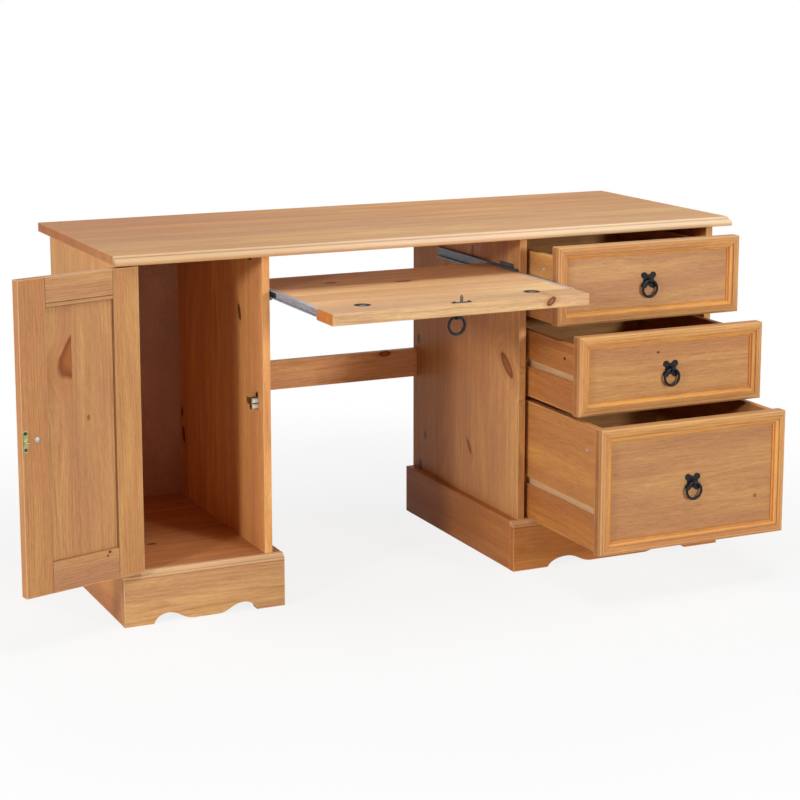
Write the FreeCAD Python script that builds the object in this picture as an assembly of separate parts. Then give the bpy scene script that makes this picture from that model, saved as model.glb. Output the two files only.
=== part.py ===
import FreeCAD, Part
import math
import os

# Kneehole desk of solid pine: a cupboard pedestal on the left, a drawer pedestal on the right and a
# pull-out tray with a drop front between them. Millimetres, Z up, the front faces -Y.
# X is counted from the left end of the top and Y from the front edges of the side panels. At the end
# everything is moved so that the origin lies on the floor under the middle of the opened desk.

V = FreeCAD.Vector
os.makedirs("parts", exist_ok=True)

# Desk top
TOP_W = 1500.0
TOP_D = 598.0
TOP_T = 20.0
DESK_H = 795.0
NOSE_D = 20.0
BEAD_R = 5.5
QUIRK_W = 1.5
NOSE_DROP = 8.0
NOSE_UNDER = 3.0

# Carcass boards
SIDE_OVERHANG = 27.0
FRONT_OVERHANG = 40.0
PANEL_T = 18.0
PANEL_ROUND = 1.6
ARRIS = 1.0
FINE_ARRIS = 0.6
LEFT_W = 324.0
RIGHT_W = 516.0
FLOOR_T = 18.0
BACK_T = 4.0
STRETCHER_T = 18.0
STRETCHER_H = 71.0
STRETCHER_Z = 353.0
STRETCHER_SETBACK = 2.0

# Plinths
PLINTH_H = 117.0
PLINTH_T = 20.0
LOBE_Z = 2.5
ARCH_Z = 21.0
LEFT_FOOT_W = 65.0
RIGHT_FOOT_W = 90.0
RISE_SHARE = 0.27
LEFT_FALL_SHARE = 0.5
RIGHT_FALL_SHARE = 0.35
PLINTH_COVE_W = 11.0
PLINTH_COVE_H = 8.0
PLINTH_BEAD_H = 6.0
PLINTH_QUIRK = 1.2

# Door
DOOR_T = 20.0
DOOR_SIDE_GAP = 2.0
DOOR_END_GAP = 3.0
STILE_W = 62.0
TOP_RAIL_W = 62.0
LOW_RAIL_W = 65.0
DOOR_PANEL_T = 8.0
DOOR_GROOVE = 8.0
GROOVE_SPARE = 1.0
RAIL_LINE_UP = 9.0
RAIL_LINE_W = 1.2
DOOR_OPEN = 164.0

# Door hinges
HINGE_H = 65.0
HINGE_END = 62.5
LEAF_T = 0.9
LEAF_W = 26.0
BARREL_R = 3.5
BARREL_GAP = 0.5
KNUCKLE_GAP = 0.3
HINGE_PIN_R = 1.6
PIN_FIT = 0.05

# Ring pulls
RING_R = 18.5
WIRE_R = 3.0
EYE_OUT = 8.5
EYE_R = 6.2
EYE_W = 6.0
EYE_HOLE_R = 3.6
PLATE_T = 3.0
LOBE_R = 7.0
LOBE_AT = 11.6
PLATE_BAR_W = 13.0
PLATE_MID_R = 13.0
PULL_HEAD_R = 4.0
PULL_HEAD_T = 1.5
PULL_EDGE = 35.0

# Strikes and roller catches
STRIKE_L = 44.0
STRIKE_W = 10.0
STRIKE_T = 1.2
STRIKE_SCREW_AT = 17.0
STRIKE_SCREW_R = 3.0
STRIKE_SCREW_T = 1.2
TONGUE_L = 15.0
TONGUE_W = 6.0
TONGUE_HEAD_W = 8.0
TONGUE_T = 1.6
STRIKE_EDGE = 7.0
FLAP_STRIKE_EDGE = 15.0
ROLLER_R = 5.0
ROLLER_L = 13.0
ROLLER_PIN_R = 1.5
ROLLER_GAP = 2.4
ROLLER_END_GAP = 0.3
ROLLER_FRONT = 4.0
CHEEK_T = 1.2
CHEEK_D = 14.0
CHEEK_SETBACK = 2.0
CHEEK_EDGE = 1.5
ARM_D = 16.0
ARM_DOWN = 4.0
ARM_UP = 11.0
TAB_D = 12.0
TAB_H = 11.0

# Drawers
DRAWER_GAP = 8.5
DRAWER_FLOOR_GAP = 1.5
DRAWER_TOP_GAP = 8.0
DEEP_PER_SMALL = 1.58
SMALL_SIDE_DROP = 25.0
DEEP_SIDE_DROP = 3.0
FRONT_T = 18.0
FRONT_SIDE_GAP = 2.0
MOULD_W = 29.0
MOULD_T = 12.0
MOULD_ROUND = 6.5
MOULD_FLAT = 17.0
MOULD_QUIRK = 1.8
MOULD_LIP_W = 3.5
MOULD_LIP_T = 2.0
BOX_GAP = 10.0
BOX_REAR_GAP = 56.0
BOX_SIDE_T = 16.0
SIDE_ROUND = 2.0
BOX_BACK_T = 14.0
BOX_BACK_DROP = 6.0
BOTTOM_T = 4.0
BOTTOM_UP = 10.0
BOTTOM_IN = 6.0
SLOT_H = 18.0
SLOT_D = 8.0
RUNNER_H = 17.0
RUNNER_SPARE = 1.0
RUNNER_REAR_GAP = 12.0
RUNNER_FRONT_GAP = 2.0
SMALL_SLOT_UP = 68.0
DEEP_SLOT_UP = 79.0
OUT_TOP = 143.0
OUT_MIDDLE = 242.0
OUT_BOTTOM = 341.0

# Keyboard tray, slides and drop front
TRAY_DROP = 79.0
TRAY_T = 17.0
TRAY_D = 400.0
SLIDE_SPACE = 13.0
TRAY_OUT = 273.0
SLIDE_H = 26.0
SLIDE_WEB = 1.5
SLIDE_DEPTH = 7.0
SLIDE_L = 408.0
SLIDE_SETBACK = 4.0
SLIDE_PLAY = 0.4
SLIDE_TAB_L = 65.0
SLIDE_TAB_H = 9.0
SLIDE_TAB_BACK = 26.0
INNER_WEB = 2.0
INNER_REACH = 10.5
INNER_SLOT_L = 32.0
INNER_SLOT_H = 7.0
INNER_SLOT_AT = 12.0
STOP_L = 28.0
STOP_AT = 240.0
FLAP_T = 25.0
FLAP_ROUND = 2.5
FLAP_TOP_GAP = 4.0
FLAP_SIDE_GAP = 7.5
LIP_L = 9.0
CUP_R = 18.0
CUP_T = 2.5
CUP_SEAM = 0.25
CUP_SHARE = 0.34

# Brackets under the top
BRACKET_LEG = 20.0
BRACKET_W = 16.0
BRACKET_T = 2.0
BRACKET_FRONT = 60.0
BRACKET_REAR = 62.0

# Positions that follow from the sizes
TOP_UNDER = DESK_H - TOP_T
CARCASS_D = TOP_D - FRONT_OVERHANG
LEFT_OUT = SIDE_OVERHANG
LEFT_IN = LEFT_OUT + LEFT_W
RIGHT_OUT = TOP_W - SIDE_OVERHANG
RIGHT_IN = RIGHT_OUT - RIGHT_W
CUP_LEFT = LEFT_OUT + PANEL_T
CUP_RIGHT = LEFT_IN - PANEL_T
BAY_LEFT = RIGHT_IN + PANEL_T
BAY_RIGHT = RIGHT_OUT - PANEL_T
FLOOR_UNDER = PLINTH_H - FLOOR_T
BACK_Y = CARCASS_D - BACK_T
KNEE_MID = (LEFT_IN + RIGHT_IN) / 2
BAY_MID = (BAY_LEFT + BAY_RIGHT) / 2

DOOR_X0 = CUP_LEFT + DOOR_SIDE_GAP
DOOR_X1 = CUP_RIGHT - DOOR_SIDE_GAP
DOOR_Z0 = PLINTH_H + DOOR_END_GAP
DOOR_Z1 = TOP_UNDER - DOOR_END_GAP
PIN_X = CUP_LEFT + DOOR_SIDE_GAP / 2
PIN_Y = -BARREL_R - BARREL_GAP
DOOR_PULL_X = DOOR_X1 - PULL_EDGE
HINGE_LOW_Z = DOOR_Z0 + HINGE_END
HINGE_HIGH_Z = DOOR_Z1 - HINGE_END - HINGE_H
STRIKE_Z = (DOOR_Z0 + DOOR_Z1) / 2

FRONT_X0 = BAY_LEFT + FRONT_SIDE_GAP
FRONT_X1 = BAY_RIGHT - FRONT_SIDE_GAP
FRONT_FULL_T = FRONT_T + MOULD_T
FRONTS_H = TOP_UNDER - PLINTH_H - DRAWER_FLOOR_GAP - DRAWER_TOP_GAP - 2 * DRAWER_GAP
SMALL_FRONT_H = FRONTS_H / (2 + DEEP_PER_SMALL)
DEEP_FRONT_H = SMALL_FRONT_H * DEEP_PER_SMALL
SMALL_SIDE_H = SMALL_FRONT_H - SMALL_SIDE_DROP
DEEP_SIDE_H = DEEP_FRONT_H - DEEP_SIDE_DROP
BOX_L = BACK_Y - FRONT_T - BOX_REAR_GAP
RUNNER_SETBACK = FRONT_T + RUNNER_FRONT_GAP
RUNNER_L = BACK_Y - RUNNER_SETBACK - RUNNER_REAR_GAP
BOX_X0 = BAY_LEFT + BOX_GAP
BOX_X1 = BAY_RIGHT - BOX_GAP
BOTTOM_DRAWER_Z = PLINTH_H + DRAWER_FLOOR_GAP
MIDDLE_DRAWER_Z = BOTTOM_DRAWER_Z + DEEP_FRONT_H + DRAWER_GAP
TOP_DRAWER_Z = MIDDLE_DRAWER_Z + SMALL_FRONT_H + DRAWER_GAP

TRAY_Z = TOP_UNDER - TRAY_DROP
TRAY_X0 = LEFT_IN + SLIDE_SPACE
TRAY_X1 = RIGHT_IN - SLIDE_SPACE
TRAY_UNDER = TRAY_Z - TRAY_T
SEAM_Y = FLAP_T - TRAY_OUT
FLAP_D = TRAY_DROP - FLAP_TOP_GAP
FLAP_X0 = LEFT_IN + FLAP_SIDE_GAP
FLAP_X1 = RIGHT_IN - FLAP_SIDE_GAP
FLAP_FRONT_Y = SEAM_Y - FLAP_D
FLAP_UNDER = TRAY_Z - FLAP_T
FLAP_PULL_Y = SEAM_Y - FLAP_D / 2
FLAP_STRIKE_Y = FLAP_FRONT_Y + FLAP_STRIKE_EDGE

# The opened door's outer corner and the deepest drawer set how far the desk reaches at rest.
OPEN = math.radians(DOOR_OPEN)
DOOR_REACH_X = PIN_X + (DOOR_X1 - PIN_X) * math.cos(OPEN) - PIN_Y * math.sin(OPEN)
FRONT_REACH_Y = -OUT_BOTTOM + MOULD_T - EYE_OUT - EYE_R
ORIGIN = V(-(DOOR_REACH_X + TOP_W) / 2, -(FRONT_REACH_Y + CARCASS_D) / 2, 0)


def box(x0, x1, y0, y1, z0, z1):
    return Part.makeBox(x1 - x0, y1 - y0, z1 - z0, V(x0, y0, z0))


def bar_x(radius, x0, x1, y, z):
    return Part.makeCylinder(radius, x1 - x0, V(x0, y, z), V(1, 0, 0))


def line(a, b):
    return Part.makeLine(a, b)


def arc(a, middle, b):
    return Part.Arc(a, middle, b).toShape()


def solid_from(edges, sweep):
    return Part.Face(Part.Wire(edges)).extrude(sweep)


def polygon_solid(points, sweep):
    return Part.Face(Part.makePolygon(points + [points[0]])).extrude(sweep)


def quarter(centre, start, end):
    # A quarter round from start to end about its centre.
    half = (start - centre) + (end - centre)
    half.normalize()
    return arc(start, centre + half * (start - centre).Length, end)


def eased(shape, radius, wanted=None):
    # Rounds the arrises whose box passes the test, or all of them.
    edges = [edge for edge in shape.Edges if wanted is None or wanted(edge.BoundBox)]
    return shape.makeFillet(radius, edges)


def near(a, b):
    return abs(a - b) < 1e-6


def rest(name, *shapes):
    whole = shapes[0] if len(shapes) == 1 else Part.makeCompound(list(shapes))
    moved = whole.copy()
    moved.translate(ORIGIN)
    moved.exportStep("parts/" + name + ".step")
    print(name, len(moved.Solids), "solids", round(moved.Volume / 1000, 1), "cm3", moved.isValid())


# Desk top with a bead and a rounded nose along the front edge
def desk_top():
    back = CARCASS_D
    arris = -FRONT_OVERHANG + NOSE_D
    front = -FRONT_OVERHANG
    bead_z = DESK_H - BEAD_R
    nose_y = arris - BEAD_R - QUIRK_W
    nose_z = bead_z - NOSE_DROP
    low_z = TOP_UNDER + NOSE_UNDER
    low_y = front + NOSE_UNDER
    a = V(0, back, TOP_UNDER)
    b = V(0, back, DESK_H)
    c = V(0, arris, DESK_H)
    d = V(0, arris - BEAD_R, bead_z)
    e = V(0, nose_y, bead_z)
    f = V(0, front, nose_z)
    g = V(0, front, low_z)
    h = V(0, low_y, TOP_UNDER)
    nose_mid = V(0, front + (nose_y - front) * 0.27, nose_z + NOSE_DROP * 0.66)
    edges = [line(a, b), line(b, c), quarter(V(0, arris, bead_z), c, d), line(d, e), arc(e, nose_mid, f)]
    edges += [line(f, g), quarter(V(0, low_y, low_z), g, h), line(h, a)]
    top = solid_from(edges, V(TOP_W, 0, 0))

    def end_arris(b):
        return near(b.XLength, 0) and (near(b.YLength, back - arris) or near(b.YMin, back))

    return eased(top, FINE_ARRIS, end_arris)


def side_panel(x0):
    board = box(x0, x0 + PANEL_T, 0, CARCASS_D, PLINTH_H, TOP_UNDER)
    return eased(board, PANEL_ROUND, lambda b: near(b.YMax, 0) and b.ZLength > PANEL_T)


# Plinth front: the lower edge is scalloped, the upper edge carries a bead and a cove
def plinth_front(x0, x1, foot_w, fall_share):
    mid = (x0 + x1) / 2
    heel = mid - x0 - foot_w
    rise_w = heel * RISE_SHARE
    fall_w = heel * fall_share
    crown = heel - rise_w
    lobe = crown - fall_w

    def point(offset, z):
        return V(mid + offset, -PLINTH_T, z)

    def half(side):
        rise = Part.BSplineCurve()
        shoulder = point(side * (crown + rise_w * 0.72), ARCH_Z * 0.62)
        near_crown = point(side * (crown + rise_w * 0.35), ARCH_Z * 0.92)
        rise.interpolate([point(side * heel, 0), shoulder, near_crown, point(side * crown, ARCH_Z)])
        fall = Part.BSplineCurve()
        fall_mid = point(side * (lobe + fall_w / 2), (ARCH_Z + LOBE_Z) / 2)
        level = V(-side, 0, 0)
        fall.interpolate(Points=[point(side * crown, ARCH_Z), fall_mid, point(side * lobe, LOBE_Z)],
                         InitialTangent=level * 1.0, FinalTangent=level * 1.0)
        return rise.toShape(), fall.toShape()

    left_rise, left_fall = half(-1)
    right_rise, right_fall = half(1)
    top_left = V(x0, -PLINTH_T, PLINTH_H)
    top_right = V(x1, -PLINTH_T, PLINTH_H)
    low_left = V(x0, -PLINTH_T, 0)
    low_right = V(x1, -PLINTH_T, 0)
    edges = [line(top_right, top_left), line(top_left, low_left), line(low_left, point(-heel, 0))]
    edges += [left_rise, left_fall, line(point(-lobe, LOBE_Z), point(lobe, LOBE_Z)), right_fall, right_rise]
    edges += [line(point(heel, 0), low_right), line(low_right, top_right)]
    board = Part.Face(Part.Wire(Part.__sortEdges__(edges))).extrude(V(0, PLINTH_T, 0))
    moulded = board.common(plinth_profile(x0, x1)).Solids[0]

    def end_arris(b):
        return near(b.YMax, -PLINTH_T) and near(b.XLength, 0) and b.ZLength > ARCH_Z

    return eased(moulded, ARRIS, end_arris)


def plinth_profile(x0, x1):
    front = -PLINTH_T
    bead_top = PLINTH_H - PLINTH_COVE_H
    bead_low = bead_top - PLINTH_BEAD_H
    bead_in = front + PLINTH_QUIRK
    a = V(x0, 0, 0)
    b = V(x0, front, 0)
    c = V(x0, front, bead_low - PLINTH_QUIRK)
    d = V(x0, bead_in, bead_low)
    e = V(x0, bead_in, bead_top)
    f = V(x0, front + PLINTH_COVE_W, PLINTH_H)
    g = V(x0, 0, PLINTH_H)
    bead_mid = V(x0, front, (bead_low + bead_top) / 2)
    cove_mid = V(x0, bead_in + (f.y - bead_in) * 0.62, bead_top + PLINTH_COVE_H * 0.42)
    edges = [line(a, b), line(b, c), line(c, d), arc(d, bead_mid, e)]
    edges += [arc(e, cove_mid, f), line(f, g), line(g, a)]
    return solid_from(edges, V(x1 - x0, 0, 0))


def plinth_sides(x0, x1):
    outer = box(x0 - PLINTH_T, x0, 0, CARCASS_D, 0, PLINTH_H)
    inner = box(x1, x1 + PLINTH_T, 0, CARCASS_D, 0, PLINTH_H)
    return eased(outer, ARRIS), eased(inner, ARRIS)


def bracket(x_face, side, y):
    # An angle bracket: one leg on the panel, one leg under the top.
    thin = sorted((x_face, x_face + side * BRACKET_T))
    wide = sorted((x_face, x_face + side * BRACKET_LEG))
    upright = box(thin[0], thin[1], y, y + BRACKET_W, TOP_UNDER - BRACKET_LEG, TOP_UNDER)
    level = box(wide[0], wide[1], y, y + BRACKET_W, TOP_UNDER - BRACKET_T, TOP_UNDER)
    return upright.fuse(level).removeSplitter()


rest("desk_top", desk_top())
rest("left_outer_panel", side_panel(LEFT_OUT))
rest("left_inner_panel", side_panel(CUP_RIGHT))
rest("right_inner_panel", side_panel(RIGHT_IN))
rest("right_outer_panel", side_panel(BAY_RIGHT))
rest("back_panels", box(CUP_LEFT, CUP_RIGHT, BACK_Y, CARCASS_D, PLINTH_H, TOP_UNDER),
     box(BAY_LEFT, BAY_RIGHT, BACK_Y, CARCASS_D, PLINTH_H, TOP_UNDER))
rest("floor_boards", box(LEFT_OUT, LEFT_IN, 0, CARCASS_D, FLOOR_UNDER, PLINTH_H),
     box(RIGHT_IN, RIGHT_OUT, 0, CARCASS_D, FLOOR_UNDER, PLINTH_H))
left_scallop = plinth_front(LEFT_OUT - PLINTH_T, LEFT_IN + PLINTH_T, LEFT_FOOT_W, LEFT_FALL_SHARE)
right_scallop = plinth_front(RIGHT_IN - PLINTH_T, RIGHT_OUT + PLINTH_T, RIGHT_FOOT_W, RIGHT_FALL_SHARE)
rest("left_plinth_front", left_scallop)
rest("right_plinth_front", right_scallop)
rest("left_plinth_sides", *plinth_sides(LEFT_OUT, LEFT_IN))
rest("right_plinth_sides", *plinth_sides(RIGHT_IN, RIGHT_OUT))
STRETCHER_Y1 = CARCASS_D - STRETCHER_SETBACK
STRETCHER_Y0 = STRETCHER_Y1 - STRETCHER_T
stretcher = box(LEFT_IN, RIGHT_IN, STRETCHER_Y0, STRETCHER_Y1, STRETCHER_Z, STRETCHER_Z + STRETCHER_H)
rest("stretcher", eased(stretcher, ARRIS))
brackets = []
for y in (BRACKET_FRONT, CARCASS_D - BRACKET_REAR - BRACKET_W):
    for x_face, side in ((CUP_LEFT, 1), (CUP_RIGHT, -1), (BAY_LEFT, 1), (BAY_RIGHT, -1)):
        brackets.append(bracket(x_face, side, y))
rest("top_brackets", *brackets)


# Ring pull: an X-shaped plate with an eye, facing -Y, and a ring through the eye
def pull_plate(x, y, z):
    plate = Part.makeCylinder(PLATE_MID_R, PLATE_T, V(0, 0, 0), V(0, -1, 0))
    for turn in (45, -45):
        reach = LOBE_AT * math.sqrt(2)
        bar = box(-reach, reach, -PLATE_T, 0, -PLATE_BAR_W / 2, PLATE_BAR_W / 2)
        bar.rotate(V(0, 0, 0), V(0, 1, 0), turn)
        plate = plate.fuse(bar)
    for lobe_x in (-LOBE_AT, LOBE_AT):
        for lobe_z in (-LOBE_AT, LOBE_AT):
            plate = plate.fuse(Part.makeCylinder(LOBE_R, PLATE_T, V(lobe_x, 0, lobe_z), V(0, -1, 0)))
    neck = box(-EYE_W / 2, EYE_W / 2, -EYE_OUT, -PLATE_T / 2, -EYE_R, EYE_R)
    eye = bar_x(EYE_R, -EYE_W / 2, EYE_W / 2, -EYE_OUT, 0)
    hole = bar_x(EYE_HOLE_R, -EYE_W, EYE_W, -EYE_OUT, 0)
    whole = plate.fuse(neck).fuse(eye).cut(hole).removeSplitter()
    whole.translate(V(x, y, z))
    return whole


def ring(x, y, z):
    # The ring hangs from an eye whose plate lies on the plane y.
    return Part.makeTorus(RING_R, WIRE_R, V(x, y - EYE_OUT, z - RING_R), V(0, 1, 0))


# Spear strike standing on the plane z = 0: plate along X, two screws, tongue upwards
def strike(tongue_along_plate):
    plate = box(-STRIKE_L / 2, STRIKE_L / 2, -STRIKE_W / 2, STRIKE_W / 2, 0, STRIKE_T)
    for x in (-STRIKE_SCREW_AT, STRIKE_SCREW_AT):
        plate = plate.fuse(Part.makeCylinder(STRIKE_SCREW_R, STRIKE_T + STRIKE_SCREW_T, V(x, 0, 0)))
    neck = TONGUE_W / 2
    head = TONGUE_HEAD_W / 2
    tip = STRIKE_T + TONGUE_L
    waist = STRIKE_T + TONGUE_L * 0.45
    barb = STRIKE_T + TONGUE_L * 0.6
    points = [V(-neck, 0, 0), V(neck, 0, 0), V(neck, 0, waist), V(head, 0, barb), V(neck / 3, 0, tip)]
    points += [V(-neck / 3, 0, tip), V(-head, 0, barb), V(-neck, 0, waist)]
    tongue = polygon_solid(points, V(0, TONGUE_T, 0))
    tongue.translate(V(0, -TONGUE_T / 2, 0))
    if not tongue_along_plate:
        tongue.rotate(V(0, 0, 0), V(0, 0, 1), 90)
    return plate.fuse(tongue).removeSplitter()


ROLLER_SPREAD = ROLLER_R + ROLLER_GAP / 2
CATCH_HALF_X = ROLLER_L / 2 + ROLLER_END_GAP
CATCH_HALF_Z = ROLLER_SPREAD + ROLLER_R + CHEEK_EDGE


# Double roller catch: two cheeks with rear arms, a web, a screw tab and two cross pins; rollers turn about X
def catch_body(x, y, z):
    half = CATCH_HALF_X
    front = y - ROLLER_R + CHEEK_SETBACK
    web = front + CHEEK_D
    low = z - CATCH_HALF_Z
    high = z + CATCH_HALF_Z
    body = box(x - half - CHEEK_T, x + half + CHEEK_T, web - CHEEK_T, web, low, high)
    for x0 in (x - half - CHEEK_T, x + half):
        body = body.fuse(box(x0, x0 + CHEEK_T, front, web, low, high))
        body = body.fuse(box(x0, x0 + CHEEK_T, web, web + ARM_D, z - ARM_DOWN, z + ARM_UP))
    body = body.fuse(box(x + half, x + half + CHEEK_T, web - TAB_D, web, high, high + TAB_H))
    for pin_z in (z - ROLLER_SPREAD, z + ROLLER_SPREAD):
        body = body.fuse(bar_x(ROLLER_PIN_R, x - half, x + half, y, pin_z))
    return body.removeSplitter()


def roller(x, y, z):
    wheel = bar_x(ROLLER_R, x - ROLLER_L / 2, x + ROLLER_L / 2, y, z)
    return wheel.cut(bar_x(ROLLER_PIN_R + PIN_FIT, x - ROLLER_L, x + ROLLER_L, y, z))


# The door is drawn closed and then turned open about the hinge pins.
def opened(shape):
    turned = shape.copy()
    turned.rotate(V(PIN_X, PIN_Y, 0), V(0, 0, 1), -DOOR_OPEN)
    return turned


GROOVE_Y0 = (DOOR_T - DOOR_PANEL_T) / 2
GROOVE_Y1 = GROOVE_Y0 + DOOR_PANEL_T
RAIL_X0 = DOOR_X0 + STILE_W
RAIL_X1 = DOOR_X1 - STILE_W
PANEL_Z0 = DOOR_Z0 + LOW_RAIL_W
PANEL_Z1 = DOOR_Z1 - TOP_RAIL_W
TENON = DOOR_GROOVE - GROOVE_SPARE


def door_stile(x0, groove_x):
    board = eased(box(x0, x0 + STILE_W, 0, DOOR_T, DOOR_Z0, DOOR_Z1), ARRIS)
    return board.cut(box(groove_x, groove_x + DOOR_GROOVE, GROOVE_Y0, GROOVE_Y1, DOOR_Z0, DOOR_Z1))


def door_rail(z0, z1, groove_z):
    board = eased(box(RAIL_X0, RAIL_X1, 0, DOOR_T, z0, z1), FINE_ARRIS)
    board = board.fuse(box(RAIL_X0 - TENON, RAIL_X1 + TENON, GROOVE_Y0, GROOVE_Y1, z0, z1))
    groove = box(RAIL_X0 - TENON, RAIL_X1 + TENON, GROOVE_Y0, GROOVE_Y1, groove_z, groove_z + DOOR_GROOVE)
    return board.cut(groove).removeSplitter()


def door_top_rail():
    rail = door_rail(PANEL_Z1, DOOR_Z1, PANEL_Z1)
    line_z = PANEL_Z1 + RAIL_LINE_UP
    scored = box(RAIL_X0, RAIL_X1, DOOR_T - RAIL_LINE_W, DOOR_T, line_z, line_z + RAIL_LINE_W)
    return rail.cut(scored)


rest("door_hinge_stile", opened(door_stile(DOOR_X0, DOOR_X0 + STILE_W - DOOR_GROOVE)))
rest("door_free_stile", opened(door_stile(DOOR_X1 - STILE_W, DOOR_X1 - STILE_W)))
rest("door_rails", opened(door_top_rail()), opened(door_rail(DOOR_Z0, PANEL_Z0, PANEL_Z0 - DOOR_GROOVE)))
TONGUE_X0 = RAIL_X0 - TENON
TONGUE_X1 = RAIL_X1 + TENON
panel = box(TONGUE_X0, TONGUE_X1, GROOVE_Y0, GROOVE_Y1, PANEL_Z0 - TENON, PANEL_Z1 + TENON)
rest("door_panel", opened(panel))

door_plate = pull_plate(DOOR_PULL_X, 0, STRIKE_Z)
door_bolt = Part.makeCylinder(PULL_HEAD_R, PULL_HEAD_T, V(DOOR_PULL_X, DOOR_T, STRIKE_Z), V(0, 1, 0))
rest("door_pull_plate", opened(door_plate), opened(door_bolt))
rest("door_ring", opened(ring(DOOR_PULL_X, 0, STRIKE_Z)))

STRIKE_X = DOOR_X1 - STRIKE_EDGE
door_strike = strike(False)
door_strike.rotate(V(0, 0, 0), V(0, 1, 0), 90)
door_strike.rotate(V(0, 0, 0), V(0, 0, 1), 90)
door_strike.translate(V(STRIKE_X, DOOR_T, STRIKE_Z))
rest("door_strike", opened(door_strike))

DOOR_ROLLER_X = CUP_RIGHT - CHEEK_T - CATCH_HALF_X
DOOR_ROLLER_Y = DOOR_T + ROLLER_FRONT + ROLLER_R
rest("door_catch", catch_body(DOOR_ROLLER_X, DOOR_ROLLER_Y, STRIKE_Z))
rest("door_roller_upper", roller(DOOR_ROLLER_X, DOOR_ROLLER_Y, STRIKE_Z + ROLLER_SPREAD))
rest("door_roller_lower", roller(DOOR_ROLLER_X, DOOR_ROLLER_Y, STRIKE_Z - ROLLER_SPREAD))


# Butt hinges: the frame leaf carries the outer knuckles and the pin, the door leaf the middle knuckle
def knuckle(z0, z1):
    return Part.makeCylinder(BARREL_R, z1 - z0, V(PIN_X, PIN_Y, z0))


def frame_leaf(z0):
    third = HINGE_H / 3
    leaf = box(CUP_LEFT, CUP_LEFT + LEAF_T, 0, LEAF_W, z0, z0 + HINGE_H)
    for k0 in (z0, z0 + 2 * third):
        leaf = leaf.fuse(box(CUP_LEFT, CUP_LEFT + LEAF_T, PIN_Y, 0, k0, k0 + third))
        leaf = leaf.fuse(knuckle(k0, k0 + third))
    pin = Part.makeCylinder(HINGE_PIN_R, HINGE_H, V(PIN_X, PIN_Y, z0))
    return leaf.fuse(pin).removeSplitter()


def door_leaf(z0):
    third = HINGE_H / 3
    k0 = z0 + third + KNUCKLE_GAP
    k1 = z0 + 2 * third - KNUCKLE_GAP
    leaf = box(DOOR_X0 - LEAF_T, DOOR_X0, 0, LEAF_W, z0, z0 + HINGE_H)
    leaf = leaf.cut(box(DOOR_X0 - LEAF_T, DOOR_X0, DOOR_T, LEAF_W, z0, z0 + HINGE_H))
    leaf = leaf.fuse(box(DOOR_X0 - LEAF_T, DOOR_X0, PIN_Y, 0, k0, k1)).fuse(knuckle(k0, k1))
    bore = Part.makeCylinder(HINGE_PIN_R + PIN_FIT, HINGE_H, V(PIN_X, PIN_Y, z0))
    return leaf.cut(bore).removeSplitter()


rest("hinge_frame_leaves", frame_leaf(HINGE_LOW_Z), frame_leaf(HINGE_HIGH_Z))
rest("hinge_door_leaves", opened(door_leaf(HINGE_LOW_Z)), opened(door_leaf(HINGE_HIGH_Z)))


# Drawers: each is drawn with its front face at Y = 0 and then pulled out
def mould_profile():
    # Outline of the frame moulding: first value inward from the outer edge, second value out of the front.
    bead_end = MOULD_W - MOULD_LIP_W
    return MOULD_ROUND, MOULD_FLAT, bead_end


def mould_length(outer, inward, along, length):
    # One mitred length: it starts at the point outer, runs along its outer edge and widens inward.
    rounding, flat, bead_end = mould_profile()
    quirk = MOULD_T - MOULD_QUIRK
    out = V(0, -1, 0)

    def p(u, t):
        return outer + inward * u + out * t

    round_mid = p(rounding * (1 - math.sqrt(0.5)), MOULD_T - rounding * (1 - math.sqrt(0.5)))
    bead_mid = p(flat + (bead_end - flat) * 0.66, MOULD_LIP_T + (quirk - MOULD_LIP_T) * 0.62)
    edges = [line(p(0, 0), p(0, MOULD_T - rounding))]
    edges.append(arc(p(0, MOULD_T - rounding), round_mid, p(rounding, MOULD_T)))
    edges.append(line(p(rounding, MOULD_T), p(flat, MOULD_T)))
    edges.append(line(p(flat, MOULD_T), p(flat, quirk)))
    edges.append(arc(p(flat, quirk), bead_mid, p(bead_end, MOULD_LIP_T)))
    edges.append(line(p(bead_end, MOULD_LIP_T), p(MOULD_W, MOULD_LIP_T)))
    edges.append(line(p(MOULD_W, MOULD_LIP_T), p(MOULD_W, 0)))
    edges.append(line(p(MOULD_W, 0), p(0, 0)))
    bar = solid_from(edges, along * length)
    corners = [outer, outer + along * length, outer + along * (length - MOULD_W) + inward * MOULD_W]
    corners.append(outer + along * MOULD_W + inward * MOULD_W)
    return bar.common(polygon_solid(corners, out * MOULD_T)).Solids[0]


def frame_moulding(z0, z1):
    y = MOULD_T
    right = V(1, 0, 0)
    up = V(0, 0, 1)
    wide = FRONT_X1 - FRONT_X0
    tall = z1 - z0
    low = mould_length(V(FRONT_X0, y, z0), up, right, wide)
    high = mould_length(V(FRONT_X0, y, z1), -up, right, wide)
    left = mould_length(V(FRONT_X0, y, z0), right, up, tall)
    far = mould_length(V(FRONT_X1, y, z0), -right, up, tall)
    return [low, high, left, far]


def box_side(x0, slot_x, bottom_x, z0, side_h, slot_up):
    y0 = FRONT_FULL_T
    y1 = y0 + BOX_L
    board = box(x0, x0 + BOX_SIDE_T, y0, y1, z0, z0 + side_h)
    board = eased(board, SIDE_ROUND, lambda b: near(b.ZMin, z0 + side_h) and near(b.YLength, BOX_L))
    board = board.cut(box(slot_x, slot_x + SLOT_D, y0, y1, z0 + slot_up, z0 + slot_up + SLOT_H))
    return board.cut(box(bottom_x, bottom_x + BOTTOM_IN, y0, y1, z0 + BOTTOM_UP, z0 + BOTTOM_UP + BOTTOM_T))


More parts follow.
